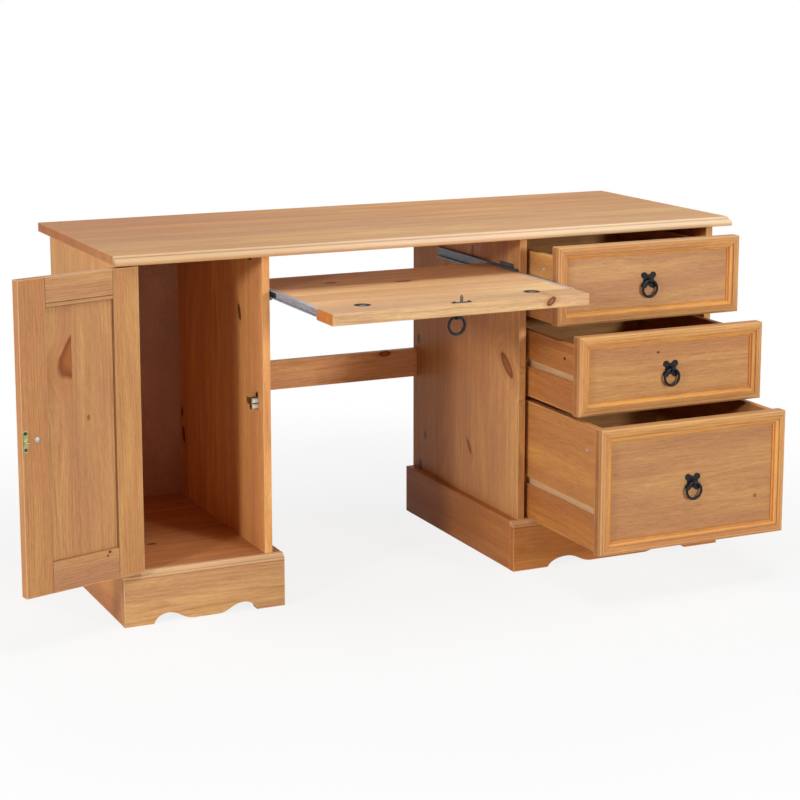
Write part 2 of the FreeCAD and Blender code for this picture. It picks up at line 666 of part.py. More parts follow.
def drawer(name, z0, front_h, side_h, slot_up, out):
    pull = V(0, -out, 0)
    inner0 = BOX_X0 + BOX_SIDE_T
    inner1 = BOX_X1 - BOX_SIDE_T
    box_y0 = FRONT_FULL_T
    box_y1 = box_y0 + BOX_L
    low = z0 + BOTTOM_UP
    back_top = z0 + side_h - BOX_BACK_DROP
    front = box(FRONT_X0, FRONT_X1, MOULD_T, box_y0, z0, z0 + front_h)
    slot = box(inner0 - BOTTOM_IN, inner1 + BOTTOM_IN, box_y0 - BOTTOM_IN, box_y0, low, low + BOTTOM_T)
    front = front.cut(slot)
    left = box_side(BOX_X0, BOX_X0, inner0 - BOTTOM_IN, z0, side_h, slot_up)
    right = box_side(BOX_X1 - BOX_SIDE_T, BOX_X1 - SLOT_D, inner1, z0, side_h, slot_up)
    back = box(inner0, inner1, box_y1 - BOX_BACK_T, box_y1, low + BOTTOM_T, back_top)
    back = eased(back, ARRIS, lambda b: near(b.ZMin, back_top) and b.XLength > BOX_BACK_T)
    bottom = box(inner0 - BOTTOM_IN, inner1 + BOTTOM_IN, box_y0 - BOTTOM_IN, box_y1, low, low + BOTTOM_T)
    pull_z = z0 + front_h / 2

    def moved(shape):
        copy = shape.copy()
        copy.translate(pull)
        return copy

    rest(name + "_front", moved(front))
    rest(name + "_moulding", *[moved(piece) for piece in frame_moulding(z0, z0 + front_h)])
    rest(name + "_sides", moved(left), moved(right))
    rest(name + "_back", moved(back))
    rest(name + "_bottom", moved(bottom))
    rest(name + "_pull_plate", moved(pull_plate(BAY_MID, MOULD_T, pull_z)))
    rest(name + "_ring", moved(ring(BAY_MID, MOULD_T, pull_z)))


def runner_pair(z0, slot_up):
    # A runner fills the space beside the drawer and carries the upper face of the side's slot.
    top = z0 + slot_up + SLOT_H
    reach = BOX_GAP + SLOT_D - RUNNER_SPARE
    y1 = RUNNER_SETBACK + RUNNER_L
    left = box(BAY_LEFT, BAY_LEFT + reach, RUNNER_SETBACK, y1, top - RUNNER_H, top)
    right = box(BAY_RIGHT - reach, BAY_RIGHT, RUNNER_SETBACK, y1, top - RUNNER_H, top)
    return [left, right]


drawer("top_drawer", TOP_DRAWER_Z, SMALL_FRONT_H, SMALL_SIDE_H, SMALL_SLOT_UP, OUT_TOP)
drawer("middle_drawer", MIDDLE_DRAWER_Z, SMALL_FRONT_H, SMALL_SIDE_H, SMALL_SLOT_UP, OUT_MIDDLE)
drawer("bottom_drawer", BOTTOM_DRAWER_Z, DEEP_FRONT_H, DEEP_SIDE_H, DEEP_SLOT_UP, OUT_BOTTOM)
runners = runner_pair(TOP_DRAWER_Z, SMALL_SLOT_UP) + runner_pair(MIDDLE_DRAWER_Z, SMALL_SLOT_UP)
rest("drawer_runners", *(runners + runner_pair(BOTTOM_DRAWER_Z, DEEP_SLOT_UP)))


# Tray slides: the cabinet channel is drawn for the left side and mirrored for the right
def mirrored(shape):
    return shape.mirror(V(KNEE_MID, 0, 0), V(1, 0, 0))


def slide_outer():
    y0 = SLIDE_SETBACK
    y1 = y0 + SLIDE_L
    z_mid = (TRAY_Z + TRAY_UNDER) / 2
    z0 = z_mid - SLIDE_H / 2
    z1 = z_mid + SLIDE_H / 2
    channel = box(LEFT_IN, LEFT_IN + SLIDE_DEPTH, y0, y1, z0, z1)
    x0 = LEFT_IN
    race = box(x0 + SLIDE_WEB, x0 + SLIDE_DEPTH, y0, y1, TRAY_UNDER, TRAY_Z + SLIDE_PLAY)
    channel = channel.cut(race)
    tab_y = y0 + SLIDE_TAB_BACK
    tab = box(LEFT_IN, LEFT_IN + SLIDE_WEB, tab_y, tab_y + SLIDE_TAB_L, z1, z1 + SLIDE_TAB_H)
    return channel.fuse(tab).removeSplitter()


def slide_inner():
    y0 = SEAM_Y
    y1 = y0 + TRAY_D
    channel = box(TRAY_X0 - INNER_REACH, TRAY_X0, y0, y1, TRAY_UNDER, TRAY_Z)
    web_x = TRAY_X0 - INNER_WEB
    hollow = box(TRAY_X0 - INNER_REACH, web_x, y0, y1, TRAY_UNDER + INNER_WEB, TRAY_Z - INNER_WEB)
    channel = channel.cut(hollow)
    slot_y = y0 + INNER_SLOT_AT
    slot_z = (TRAY_UNDER + TRAY_Z - INNER_SLOT_H) / 2
    slot = box(web_x, TRAY_X0, slot_y, slot_y + INNER_SLOT_L, slot_z, slot_z + INNER_SLOT_H)
    return channel.cut(slot)


def slide_stop():
    y0 = SEAM_Y + STOP_AT
    z0 = TRAY_UNDER + INNER_WEB
    z1 = TRAY_Z - INNER_WEB
    return box(TRAY_X0 - INNER_REACH, TRAY_X0 - INNER_WEB, y0, y0 + STOP_L, z0, z1)


def cup_half(x, side):
    # Half of a round flush hinge; side +1 lies in the tray, -1 in the drop front.
    disc = Part.makeCylinder(CUP_R, CUP_T, V(x, SEAM_Y, TRAY_Z - CUP_T))
    near = SEAM_Y + side * CUP_SEAM
    far = SEAM_Y + side * 2 * CUP_R
    keep = box(x - 2 * CUP_R, x + 2 * CUP_R, min(near, far), max(near, far), TRAY_Z - CUP_T, TRAY_Z)
    return disc.common(keep).Solids[0]


def cup_pocket(x):
    return Part.makeCylinder(CUP_R, CUP_T, V(x, SEAM_Y, TRAY_Z - CUP_T))


CUP_AT = (TRAY_X1 - TRAY_X0) * CUP_SHARE
CUP_XS = (KNEE_MID - CUP_AT, KNEE_MID + CUP_AT)
tray = box(TRAY_X0, TRAY_X1, SEAM_Y, SEAM_Y + TRAY_D, TRAY_UNDER, TRAY_Z)
tray = eased(tray, FINE_ARRIS, lambda b: near(b.ZMin, TRAY_Z))
flap = box(FLAP_X0, FLAP_X1, FLAP_FRONT_Y, SEAM_Y, FLAP_UNDER, TRAY_Z)
flap = eased(flap, FLAP_ROUND, lambda b: near(b.YMax, FLAP_FRONT_Y))
flap = eased(flap, FINE_ARRIS, lambda b: near(b.YMin, SEAM_Y) and near(b.ZMin, TRAY_Z))
flap = flap.fuse(box(FLAP_X0, FLAP_X1, SEAM_Y, SEAM_Y + LIP_L, FLAP_UNDER, TRAY_UNDER)).removeSplitter()
for cup_x in CUP_XS:
    tray = tray.cut(cup_pocket(cup_x))
    flap = flap.cut(cup_pocket(cup_x))

rest("tray_slide_outer", slide_outer(), mirrored(slide_outer()))
rest("tray_slide_inner", slide_inner(), mirrored(slide_inner()))
rest("tray_slide_stops", slide_stop(), mirrored(slide_stop()))
rest("tray_board", tray)
rest("flap_board", flap)
rest("flap_hinge_tray_halves", *[cup_half(cup_x, 1) for cup_x in CUP_XS])
rest("flap_hinge_flap_halves", *[cup_half(cup_x, -1) for cup_x in CUP_XS])

flap_strike = strike(True)
flap_strike.translate(V(KNEE_MID, FLAP_STRIKE_Y, TRAY_Z))
rest("flap_strike", flap_strike)

flap_plate = pull_plate(0, 0, 0)
flap_plate.rotate(V(0, 0, 0), V(1, 0, 0), 90)
flap_plate.translate(V(KNEE_MID, FLAP_PULL_Y, FLAP_UNDER))
rest("flap_pull_plate", flap_plate)
flap_ring_centre = V(KNEE_MID, FLAP_PULL_Y, FLAP_UNDER - EYE_OUT - RING_R)
rest("flap_ring", Part.makeTorus(RING_R, WIRE_R, flap_ring_centre, V(0, 1, 0)))
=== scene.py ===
# %% [markdown]
# # A pine kneehole desk, opened up
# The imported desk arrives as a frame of 57 named pieces, which already sit in place and move with their
# bodies. This lesson gives each board its own lacquered pine and the fittings their metals, models the small
# forms that the solids leave out, and lights the desk as in a plain studio.

# %% Load the frame
import math

import bpy
from mathutils import Matrix, Vector


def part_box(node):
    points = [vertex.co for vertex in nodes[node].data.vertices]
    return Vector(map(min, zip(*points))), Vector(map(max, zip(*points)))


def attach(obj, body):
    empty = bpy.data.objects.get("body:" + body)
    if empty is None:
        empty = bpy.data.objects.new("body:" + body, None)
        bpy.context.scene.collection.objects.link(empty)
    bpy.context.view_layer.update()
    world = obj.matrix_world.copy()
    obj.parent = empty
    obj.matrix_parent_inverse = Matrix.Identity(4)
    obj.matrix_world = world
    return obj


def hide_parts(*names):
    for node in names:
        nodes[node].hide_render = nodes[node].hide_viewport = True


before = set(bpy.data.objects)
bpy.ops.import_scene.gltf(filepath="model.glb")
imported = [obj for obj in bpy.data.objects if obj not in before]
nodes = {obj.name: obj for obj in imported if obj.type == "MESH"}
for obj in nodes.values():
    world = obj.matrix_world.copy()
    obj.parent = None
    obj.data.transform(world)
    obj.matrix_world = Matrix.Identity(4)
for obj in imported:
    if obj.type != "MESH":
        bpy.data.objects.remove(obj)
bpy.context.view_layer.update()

# %% [markdown]
# ## Places on the desk
# A cabinet maker measures in millimetres, here from the left end of the top, the front edges of the side
# panels and the floor, so every later place is written as on a drawing. The open door has a ruler of its
# own: along its width from the hinge, through its thickness, and up.

# %% Rulers for the desk and for the open door
MM = 1 / 1000
ZERO_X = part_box("desk_top")[0][0]
ZERO_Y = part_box("left_inner_panel")[0][1]
X, Y, Z = Vector((1, 0, 0)), Vector((0, 1, 0)), Vector((0, 0, 1))
DOOR_PIN = (46.0, -4.0)
DOOR_OPEN = math.radians(164.0)
DOOR_ALONG = Vector((math.cos(DOOR_OPEN), -math.sin(DOOR_OPEN), 0.0))
DOOR_INWARD = Vector((math.sin(DOOR_OPEN), math.cos(DOOR_OPEN), 0.0))


def at(x, y, z):
    return Vector((ZERO_X + x * MM, ZERO_Y + y * MM, z * MM))


def on_door(x, y, z):
    along, inward = x - DOOR_PIN[0], y - DOOR_PIN[1]
    return at(*DOOR_PIN, z) + (DOOR_ALONG * along + DOOR_INWARD * inward) * MM


print("top's front left corner", at(0, -40, 795), "door's free edge", on_door(331, 20, 446))

# %% [markdown]
# ## A short hand for shader nodes
# A finish is a chain of small sums, which reads more easily as a formula than as boxes and wires. `step`
# adds one node, feeds its sockets in order and hands back one output. `calc` works on numbers, `shift` on
# places, and `split` takes a place apart.

# %% Helpers that add one node
def feed(tree, socket, value):
    if isinstance(value, bpy.types.NodeSocket):
        tree.links.new(value, socket)
    else:
        socket.default_value = value


def step(tree, kind, *values, out=0, **settings):
    made = tree.nodes.new("ShaderNode" + kind)
    for name, value in settings.items():
        setattr(made, name, value)
    for socket, value in zip(made.inputs, values):
        if value is not None:
            feed(tree, socket, value)
    return made.outputs[out]


def calc(tree, operation, *values):
    return step(tree, "Math", *values, operation=operation)


def shift(tree, operation, *values, out=0):
    return step(tree, "VectorMath", *values, out=out, operation=operation)


def split(tree, place):
    return step(tree, "SeparateXYZ", place).node.outputs


print("helpers for single nodes ready")

# %% [markdown]
# A few moves come back all the time: a soft step between two values, a thin line at one value, a cloud of
# noise drawn out along one direction, one colour over another, and a colour multiplied in, for stain and for
# painted light and shade.

# %% Helpers for steps, lines, clouds and colours
def fade(tree, value, start, stop, first=0.0, last=1.0):
    return step(tree, "MapRange", value, start, stop, first, last, interpolation_type="SMOOTHSTEP")


def line_at(tree, value, middle, core, rim, strong):
    off = calc(tree, "ABSOLUTE", calc(tree, "SUBTRACT", value, middle))
    return fade(tree, off, core, rim, strong, 0.0)


def cloud(tree, place, stretch, detail=2.0, rough=0.5, out=0):
    drawn_out = shift(tree, "MULTIPLY", place, stretch)
    return step(tree, "TexNoise", drawn_out, None, 1.0, detail, rough, out=out)


def paint(r, g, b):
    return (r, g, b, 1.0)


def blend(tree, share, a, b, mode="MIX"):
    skipped = (None,) * 5
    return step(tree, "Mix", share, *skipped, a, b, out=2, data_type="RGBA", blend_type=mode)


# Multiplies a colour in: real stain on some boards, painted light and shade on others.
def multiply_colour(tree, share, colour, stain):
    return blend(tree, share, colour, paint(*stain), "MULTIPLY")


print("helpers for finishes ready")

# %% [markdown]
# Grain, knots and worn edges come on every board, so each is a node group with named sockets, built once and
# used everywhere. A piece is dressed by putting its finish in all of its material slots.

# %% Helpers for groups and finishes
def new_group(name, takes, gives):
    tree = bpy.data.node_groups.new(name, "ShaderNodeTree")
    for way, sockets in (("INPUT", takes), ("OUTPUT", gives)):
        for kind, labels in sockets.items():
            for label in labels.split():
                tree.interface.new_socket(label, in_out=way, socket_type="NodeSocket" + kind)
    return tree, tree.nodes.new("NodeGroupInput").outputs, tree.nodes.new("NodeGroupOutput").inputs


def use_group(tree, group, **values):
    made = tree.nodes.new("ShaderNodeGroup")
    made.node_tree = group
    for name, value in values.items():
        feed(tree, made.inputs[name], value)
    return made.outputs


def new_finish(name):
    finish = bpy.data.materials.new(name)
    finish.use_nodes = True
    tree = finish.node_tree
    return finish, tree, tree.nodes["Principled BSDF"].inputs


def dress(name, finish):
    for place_for in nodes[name].material_slots:
        place_for.material = finish


print("helpers for groups ready")

# %% [markdown]
# ## How pine grows
# A pine trunk is a stack of cones, one a year, of pale early wood and a thin brown late layer, and a board is
# a flat cut through it. A picture of a plank would repeat and would smear over the ends, so this finish grows
# the trunk itself, in metres, with x along the grain. The staves of a glued board come from different trees,
# so each is slid by its own luck. Then the trunk is bent a little.

# %% Staves and bent trunks
MIDDLE = (0.5, 0.5, 0.5)
STAVE_SLIDE = (7.0, 0.07, 0.03)
TRUNK_WANDER = (1.6, 7.0, 7.0)
TRUNK_BEND = (0.0, 0.030, 0.022)


def slide_staves(tree, take):
    cell = shift(tree, "ADD", shift(tree, "DIVIDE", take["Place"], take["Stave"]), MIDDLE)
    cell = shift(tree, "FLOOR", cell)
    stave = step(tree, "TexWhiteNoise", cell, take["Luck"], out=1, noise_dimensions="4D")
    slide = shift(tree, "MULTIPLY", shift(tree, "SUBTRACT", stave, MIDDLE), STAVE_SLIDE)
    return split(tree, stave)[0], shift(tree, "ADD", take["Moved"], slide)


def bend_trunk(tree, slid):
    wander = shift(tree, "SUBTRACT", cloud(tree, slid, TRUNK_WANDER, out=1), MIDDLE)
    return shift(tree, "ADD", slid, shift(tree, "MULTIPLY", wander, TRUNK_BEND))


print("a stave slides up to", STAVE_SLIDE[0] / 2, "m along the grain")

# %% [markdown]
# The figure of a board is the distance from the pith, the trunk's core, divided by the width of a year. The
# pith leans, so the rings close to long arches. Good and poor summers spread the years, and each year ends
# in a late layer of its own strength.

# %% Year rings
SUMMERS = (38.0, 1.0, 1.0)
SUMMER_SPREAD = 2.4
LATE_GROWS = (0.38, 0.90)
LATE_ENDS = (0.93, 1.0)
POOREST_YEAR = 0.45


def count_years(tree, take, bent):
    lean = split(tree, take["Pith"])[0]
    _, wide, deep = split(tree, shift(tree, "SUBTRACT", bent, take["Pith"]))
    from_pith = shift(tree, "LENGTH", step(tree, "CombineXYZ", 0.0, wide, deep), out=1)
    away = calc(tree, "MULTIPLY_ADD", split(tree, bent)[0], lean, from_pith)
    spread = cloud(tree, step(tree, "CombineXYZ", away, 0.0, 0.0), SUMMERS)
    return calc(tree, "MULTIPLY_ADD", spread, SUMMER_SPREAD, calc(tree, "DIVIDE", away, take["Ring"]))


def late_wood(tree, years):
    season = calc(tree, "FRACT", years)
    grown = fade(tree, season, *LATE_GROWS)
    late = calc(tree, "MULTIPLY", grown, fade(tree, season, *LATE_ENDS, 1.0, 0.0))
    luck = step(tree, "TexWhiteNoise", None, calc(tree, "FLOOR", years), noise_dimensions="1D")
    return calc(tree, "MULTIPLY", late, calc(tree, "ADD", luck, POOREST_YEAR))


print("late wood grows from", LATE_GROWS[0], "to", LATE_GROWS[1], "of a year")

# %% [markdown]
# Between the rings a planed board shows fibres and hairs, dark veins and resin ducts, streaks, patches, and
# golden contours where the plane cut a wavy layer. The first three numbers of each mark are its clouds of
# noise per metre along, across and through the board.

# %% Marks along the grain
FIBRE = ((32.0, 400.0, 400.0), 4.0, 0.70)
HAIR = ((130.0, 1300.0, 1300.0), 2.0, 0.6)
VEIN = ((9.0, 260.0, 260.0), 3.0, 0.55)
STREAK = ((3.5, 85.0, 85.0), 4.0, 0.65)
PATCH = ((1.3, 14.0, 14.0), 3.0, 0.55)
WAVE = ((1.1, 13.0, 13.0), 1.0, 0.35)
DUCT = ((30.0, 1300.0, 1300.0), 1.0)
WAVE_LAYERS = 8.0


def gold_contours(tree, bent, patch):
    layer = calc(tree, "FRACT", calc(tree, "MULTIPLY", cloud(tree, bent, *WAVE), WAVE_LAYERS))
    rising = fade(tree, layer, 0.0, 0.45)
    shown = calc(tree, "MULTIPLY", rising, fade(tree, layer, 0.55, 0.98, 1.0, 0.0))
    return calc(tree, "MULTIPLY", shown, fade(tree, patch, 0.38, 0.60, 0.55, 0.06))


def add_marks(tree, tone, marks):
    for mark, usual, strong in marks:
        tone = calc(tree, "MULTIPLY_ADD", calc(tree, "SUBTRACT", mark, usual), strong, tone)
    return tone


print("fibres are drawn out", FIBRE[0][1] / FIBRE[0][0], "times")

# %% [markdown]
# The group puts it all together: early and late wood, rose patches, golden contours, lighter and darker
# marks, and the board's own stain. It also hands on late wood and fibres, for the lacquer's gloss and relief.

# %% The grain of lacquered pine
PINE_EARLY = paint(0.640, 0.320, 0.118)
PINE_LATE = paint(0.455, 0.182, 0.052)
PINE_ROSE = paint(0.560, 0.252, 0.108)
PINE_GOLD = paint(0.720, 0.395, 0.140)
PLAIN_TONE = 0.89


def grow_pine():
    takes = {"Vector": "Place Moved Stave Pith", "Float": "Ring Luck Contrast", "Color": "Stain"}
    gives = {"Color": "Colour", "Float": "Late Fibre"}
    tree, take, give = new_group("pine_grain", takes, gives)
    stave, slid = slide_staves(tree, take)
    bent = bend_trunk(tree, slid)
    late = late_wood(tree, count_years(tree, take, bent))
    fibre, hair, streak, patch = [cloud(tree, bent, *mark) for mark in (FIBRE, HAIR, STREAK, PATCH)]
    vein = fade(tree, cloud(tree, bent, *VEIN), 0.55, 0.63)
    duct = fade(tree, cloud(tree, slid, *DUCT), 0.66, 0.76)
    colour = blend(tree, calc(tree, "MULTIPLY", late, take["Contrast"]), PINE_EARLY, PINE_LATE)
    colour = blend(tree, fade(tree, patch, 0.36, 0.64, 0.0, 0.70), colour, PINE_ROSE)
    colour = blend(tree, gold_contours(tree, bent, patch), colour, PINE_GOLD)
    marks = ((streak, 0.0, 0.26), (fibre, 0.5, 0.80), (hair, 0.5, 0.36), (vein, 0.0, -0.08),
             (patch, 0.5, -0.18), (stave, 0.5, 0.11), (duct, 0.0, -0.13))
    tone = add_marks(tree, PLAIN_TONE, marks)
    colour = shift(tree, "SCALE", shift(tree, "MULTIPLY", colour, take["Stain"]), None, None, tone)
    for name, value in (("Colour", colour), ("Late", late), ("Fibre", fibre)):
        feed(tree, give[name], value)
    return tree


pine_grain = grow_pine()
print(len(pine_grain.nodes), "nodes in", pine_grain.name)

# %% [markdown]
# ## Knots
# Where a branch left the trunk the grain swings round it. The group measures how far a point is from the
# branch and squeezes the grain towards it, so that the rings part and close again. A slanting branch shows
# as a leaning leaf, one that thins out as a flame, and one on a glue line is cut off: Lean, Taper and Clip.
# Tilt slants a branch that runs into a board's edge.

# %% The pull of one knot
KNOT_CRUMPLE = (35.0, 60.0, 60.0)
KNOT_WOBBLE = 0.25
THINNEST = 0.14
OUT_OF_REACH = 50.0


def grow_knot():
    takes = {"Vector": "Place Centre Reach Across", "Float": "Clip Taper Lean Tilt"}
    tree, take, give = new_group("pine_knot", takes, {"Vector": "Place", "Float": "Far"})
    off = shift(tree, "SUBTRACT", take["Place"], take["Centre"])
    along, wide, deep = split(tree, shift(tree, "DIVIDE", off, take["Reach"]))
    narrow = calc(tree, "MAXIMUM", calc(tree, "MULTIPLY_ADD", along, take["Taper"], 1.0), THINNEST)
    wide = calc(tree, "DIVIDE", calc(tree, "MULTIPLY_ADD", along, take["Lean"], wide), narrow)
    deep = calc(tree, "MULTIPLY_ADD", along, take["Tilt"], deep)
    far = shift(tree, "LENGTH", step(tree, "CombineXYZ", along, wide, deep), out=1)
    wobble = calc(tree, "SUBTRACT", cloud(tree, take["Place"], KNOT_CRUMPLE), 0.5)
    far = calc(tree, "MULTIPLY_ADD", wobble, KNOT_WOBBLE, far)
    side = shift(tree, "DOT_PRODUCT", off, take["Across"], out=1)
    cut = calc(tree, "LESS_THAN", side, take["Clip"])
    far = calc(tree, "MULTIPLY_ADD", cut, OUT_OF_REACH, far)
    pull = fade(tree, far, 0.4, 3.4, 0.72, 0.0)
    squeeze = shift(tree, "SCALE", shift(tree, "MULTIPLY", off, take["Across"]), None, None, pull)
    feed(tree, give["Place"], shift(tree, "SUBTRACT", take["Place"], squeeze))
    feed(tree, give["Far"], far)
    return tree


pine_knot = grow_knot()
print(len(pine_knot.nodes), "nodes in", pine_knot.name)

# %% [markdown]
# The branch itself shows as an eye, with a brown halo where resin soaked the wood round it. A tight knot is
# dark all over, a flame is the warm wood of a live branch, and a ringed one has a rose heart in a dark bark.

# %% The eye of a knot
KNOT_HALO = paint(0.500, 0.205, 0.066)
KNOT_BARK = paint(0.085, 0.028, 0.013)
KNOT_KINDS = {"tight": (paint(0.170, 0.058, 0.024), KNOT_BARK, 0.35),
              "flame": (paint(0.365, 0.118, 0.034), paint(0.225, 0.066, 0.020), 0.35),
              "ringed": (paint(0.330, 0.112, 0.050), KNOT_BARK, 0.42)}


def show_knots(tree, colour, eyes):
    for far, kind in eyes:
        heart, rim, rim_starts = KNOT_KINDS[kind]
        colour = blend(tree, fade(tree, far, 1.0, 2.6, 0.38, 0.0), colour, KNOT_HALO)
        eye = blend(tree, fade(tree, far, rim_starts, 0.98), heart, rim)
        colour = blend(tree, fade(tree, far, 0.86, 1.16, 1.0, 0.0), colour, eye)
    return colour


print("kinds of knot:", ", ".join(KNOT_KINDS))

# %% [markdown]
# ## Arrises
# Lacquer thins where two faces meet, so the edges of a used board look a little duller, and they are painted
# paler, partly as wear and partly as painted highlight. The group finds them from the board's own box: the
# middle one of the three distances to its faces is small only near an edge.

# %% Worn edges
ARRIS_CLOUD = (14.0, 14.0, 14.0)
ARRIS_LEAST, ARRIS_MORE = 0.0012, 0.0020


def find_arris():
    tree, take, give = new_group("pine_arris", {"Vector": "Place Half"}, {"Float": "Near"})
    inside = shift(tree, "SUBTRACT", take["Half"], shift(tree, "ABSOLUTE", take["Place"]))
    a, b, c = split(tree, inside)
    low, high = calc(tree, "MINIMUM", a, b), calc(tree, "MAXIMUM", a, b)
    second = calc(tree, "MAXIMUM", low, calc(tree, "MINIMUM", high, c))
    highlight_and_wear = cloud(tree, take["Place"], ARRIS_CLOUD, 4.0)
    reach = calc(tree, "MULTIPLY_ADD", highlight_and_wear, ARRIS_MORE, ARRIS_LEAST)
    feed(tree, give["Near"], fade(tree, calc(tree, "DIVIDE", second, reach), 0.2, 1.0, 1.0, 0.0))
    return tree


pine_arris = find_arris()
print(len(pine_arris.nodes), "nodes in", pine_arris.name)

# %% [markdown]
# ## From a grain to a board
# Every board gets a finish of its own. Its coordinates are turned so that x runs along the grain, y across
# the board and z through it, with zero in the middle.

# %% A board's own ruler
def turned_box(name, grain, across):
    rows = Matrix((grain, across, grain.cross(across)))
    points = [rows @ v.co for v in nodes[name].data.vertices]
    low = Vector([min(p[i] for p in points) for i in range(3)])
    high = Vector([max(p[i] for p in points) for i in range(3)])
    return rows, (low + high) / 2, (high - low) / 2


print("door panel, half sizes", turned_box("door_panel", Z, DOOR_ALONG)[2])

# %% [markdown]
# A knot is given by its place on the desk, its length and its width in millimetres; through the board it is
# as good as endless. Each knot bends the coordinates that the next one and the grain then use. Where a branch
# lies just under the face there is no eye, only the grain's swirl.

# %% Knots on a board
BIG = 9.0


def knot(spot, along, wide, kind="tight", **shape):
    return (spot, (along * MM, wide * MM, BIG), kind, shape)


def add_knots(tree, moved, knots, rows, middle):
    eyes = []
    for spot, reach, kind, shape in knots:
        centre = rows @ spot - middle
        across = (0.0, 1.0, 0.0) if reach[2] == BIG else (0.0, 0.0, 1.0)
        gives = use_group(tree, pine_knot, Place=moved, Centre=centre, Reach=reach, Across=across,
                          **{"Clip": -BIG, **shape})
        moved = gives["Place"]
        if kind != "swirl":
            eyes.append((gives["Far"], kind))
    return moved, eyes


print("a knot of 18 by 8 mm reaches", knot(at(0, 0, 0), 18, 8)[1], "m")

# %% [markdown]
# Where two boards meet there is a thin dark seam, drawn where the distance to the joint's plane is nearly
# nothing. The lacquer is a satin one: its gloss follows the fibres, the arrises are duller, and the late wood
# stands a hair proud.

# %% Seams and lacquer
SEAM_DARK = paint(0.110, 0.042, 0.018)
SEAM_CORE, SEAM_RIM, SEAM_STRONG = 0.0004, 0.0014, 0.58
LACQUER_TINT = paint(1.0, 0.86, 0.70)


def draw_seams(tree, colour, place, seams, rows, middle):
    for spot, way in seams:
        off = shift(tree, "SUBTRACT", place, rows @ spot - middle)
        gap = shift(tree, "DOT_PRODUCT", off, rows @ way, out=1)
        line = line_at(tree, gap, 0.0, SEAM_CORE, SEAM_RIM, SEAM_STRONG)
        colour = blend(tree, line, colour, SEAM_DARK)
    return colour


def lacquer(tree, skin, wood, near):
    gloss = calc(tree, "MULTIPLY_ADD", wood["Fibre"], 0.22, 0.42)
    gloss = calc(tree, "MULTIPLY_ADD", wood["Late"], -0.06, gloss)
    feed(tree, skin["Roughness"], calc(tree, "MULTIPLY_ADD", near, 0.08, gloss))
    relief = calc(tree, "MULTIPLY_ADD", wood["Late"], 0.5, wood["Fibre"])
    feed(tree, skin["Normal"], step(tree, "Bump", 0.10, 0.0006, None, relief))
    skin["Specular IOR Level"].default_value = 0.15
    skin["Specular Tint"].default_value = LACQUER_TINT


print("seams are drawn up to", round(2 * SEAM_RIM / MM, 1), "mm wide")

# %% [markdown]
# The board maker lays these on each other: grain, darker end grain where a face looks along the fibres,
# arrises, knots, a tint that only this board has, seams, lacquer. The pith says where the trunk's core lay,
# the luck picks the tree, and the stave gives the width of the glued lengths.

# %% The board maker
WHOLE = (BIG, BIG, BIG)
ARRIS_WEAR_AND_HIGHLIGHT = paint(0.760, 0.480, 0.235)
END_SHARE = 0.75


def pine_board(name, grain, across, pith, luck, stave=WHOLE, ring=0.0065, contrast=0.5, knots=(), seams=(),
               arris=0.6, joint=0.0, stain=(1.0, 1.0, 1.0), end_grain=(0.80, 0.58, 0.42), tint=None):
    finish, tree, skin = new_finish("pine_" + name)
    rows, middle, half = turned_box(name, grain, across)
    coords = tree.nodes.new("ShaderNodeTexCoord").outputs
    place = step(tree, "Mapping", coords["Object"], -middle, rows.to_euler())
    place.node.name = "board_ruler"
    moved, eyes = add_knots(tree, place, knots, rows, middle)
    staves = shift(tree, "ADD", place, (0.0, joint, 0.0))
    wood = use_group(tree, pine_grain, Place=staves, Moved=moved, Stave=stave, Pith=pith, Ring=ring,
                     Luck=luck, Contrast=contrast, Stain=paint(*stain))
    wood["Colour"].node.name = "board_grain"
    facing = calc(tree, "ABSOLUTE", shift(tree, "DOT_PRODUCT", coords["Normal"], grain, out=1))
    end = fade(tree, facing, 0.6, 0.85, 0.0, END_SHARE)
    colour = multiply_colour(tree, end, wood["Colour"], end_grain)
    near = use_group(tree, pine_arris, Place=place, Half=half)["Near"]
    # Edges painted paler: partly wear, partly painted highlight.
    colour = blend(tree, calc(tree, "MULTIPLY", near, arris), colour, ARRIS_WEAR_AND_HIGHLIGHT)
    colour = show_knots(tree, colour, eyes)
    if tint:
        colour = tint(tree, colour, place, half)
    feed(tree, skin["Base Color"], draw_seams(tree, colour, place, seams, rows, middle))
    lacquer(tree, skin, wood, near)
    dress(name, finish)
    return finish


print("board maker ready")

# %% [markdown]
# ## The top
# The top is glued from staves of a hand's width. It is painted paler at the front and at the right and
# browner at the back and at the left, as painted sheen and shade, with smoky streaks of tone in between. Its
# rounded nose gets a painted highlight, and the quirk, the small groove behind it, a dark line of painted
# shade.

# %% The top's painted sheen and shade
FRONT_PAINTED_SHEEN, BACK_PAINTED_SHADE = (1.05, 1.13, 1.22), (0.95, 0.86, 0.77)
RIGHT_PAINTED_SHEEN, LEFT_PAINTED_SHADE = (1.09, 1.13, 1.12), (0.85, 0.78, 0.66)
SMOKE = (0.86, 0.76, 0.66)
NOSE_PAINTED_HIGHLIGHT = paint(0.880, 0.660, 0.460)
GROOVE_PAINTED_SHADE = paint(0.230, 0.088, 0.032)
QUIRK_BACK = 0.0138


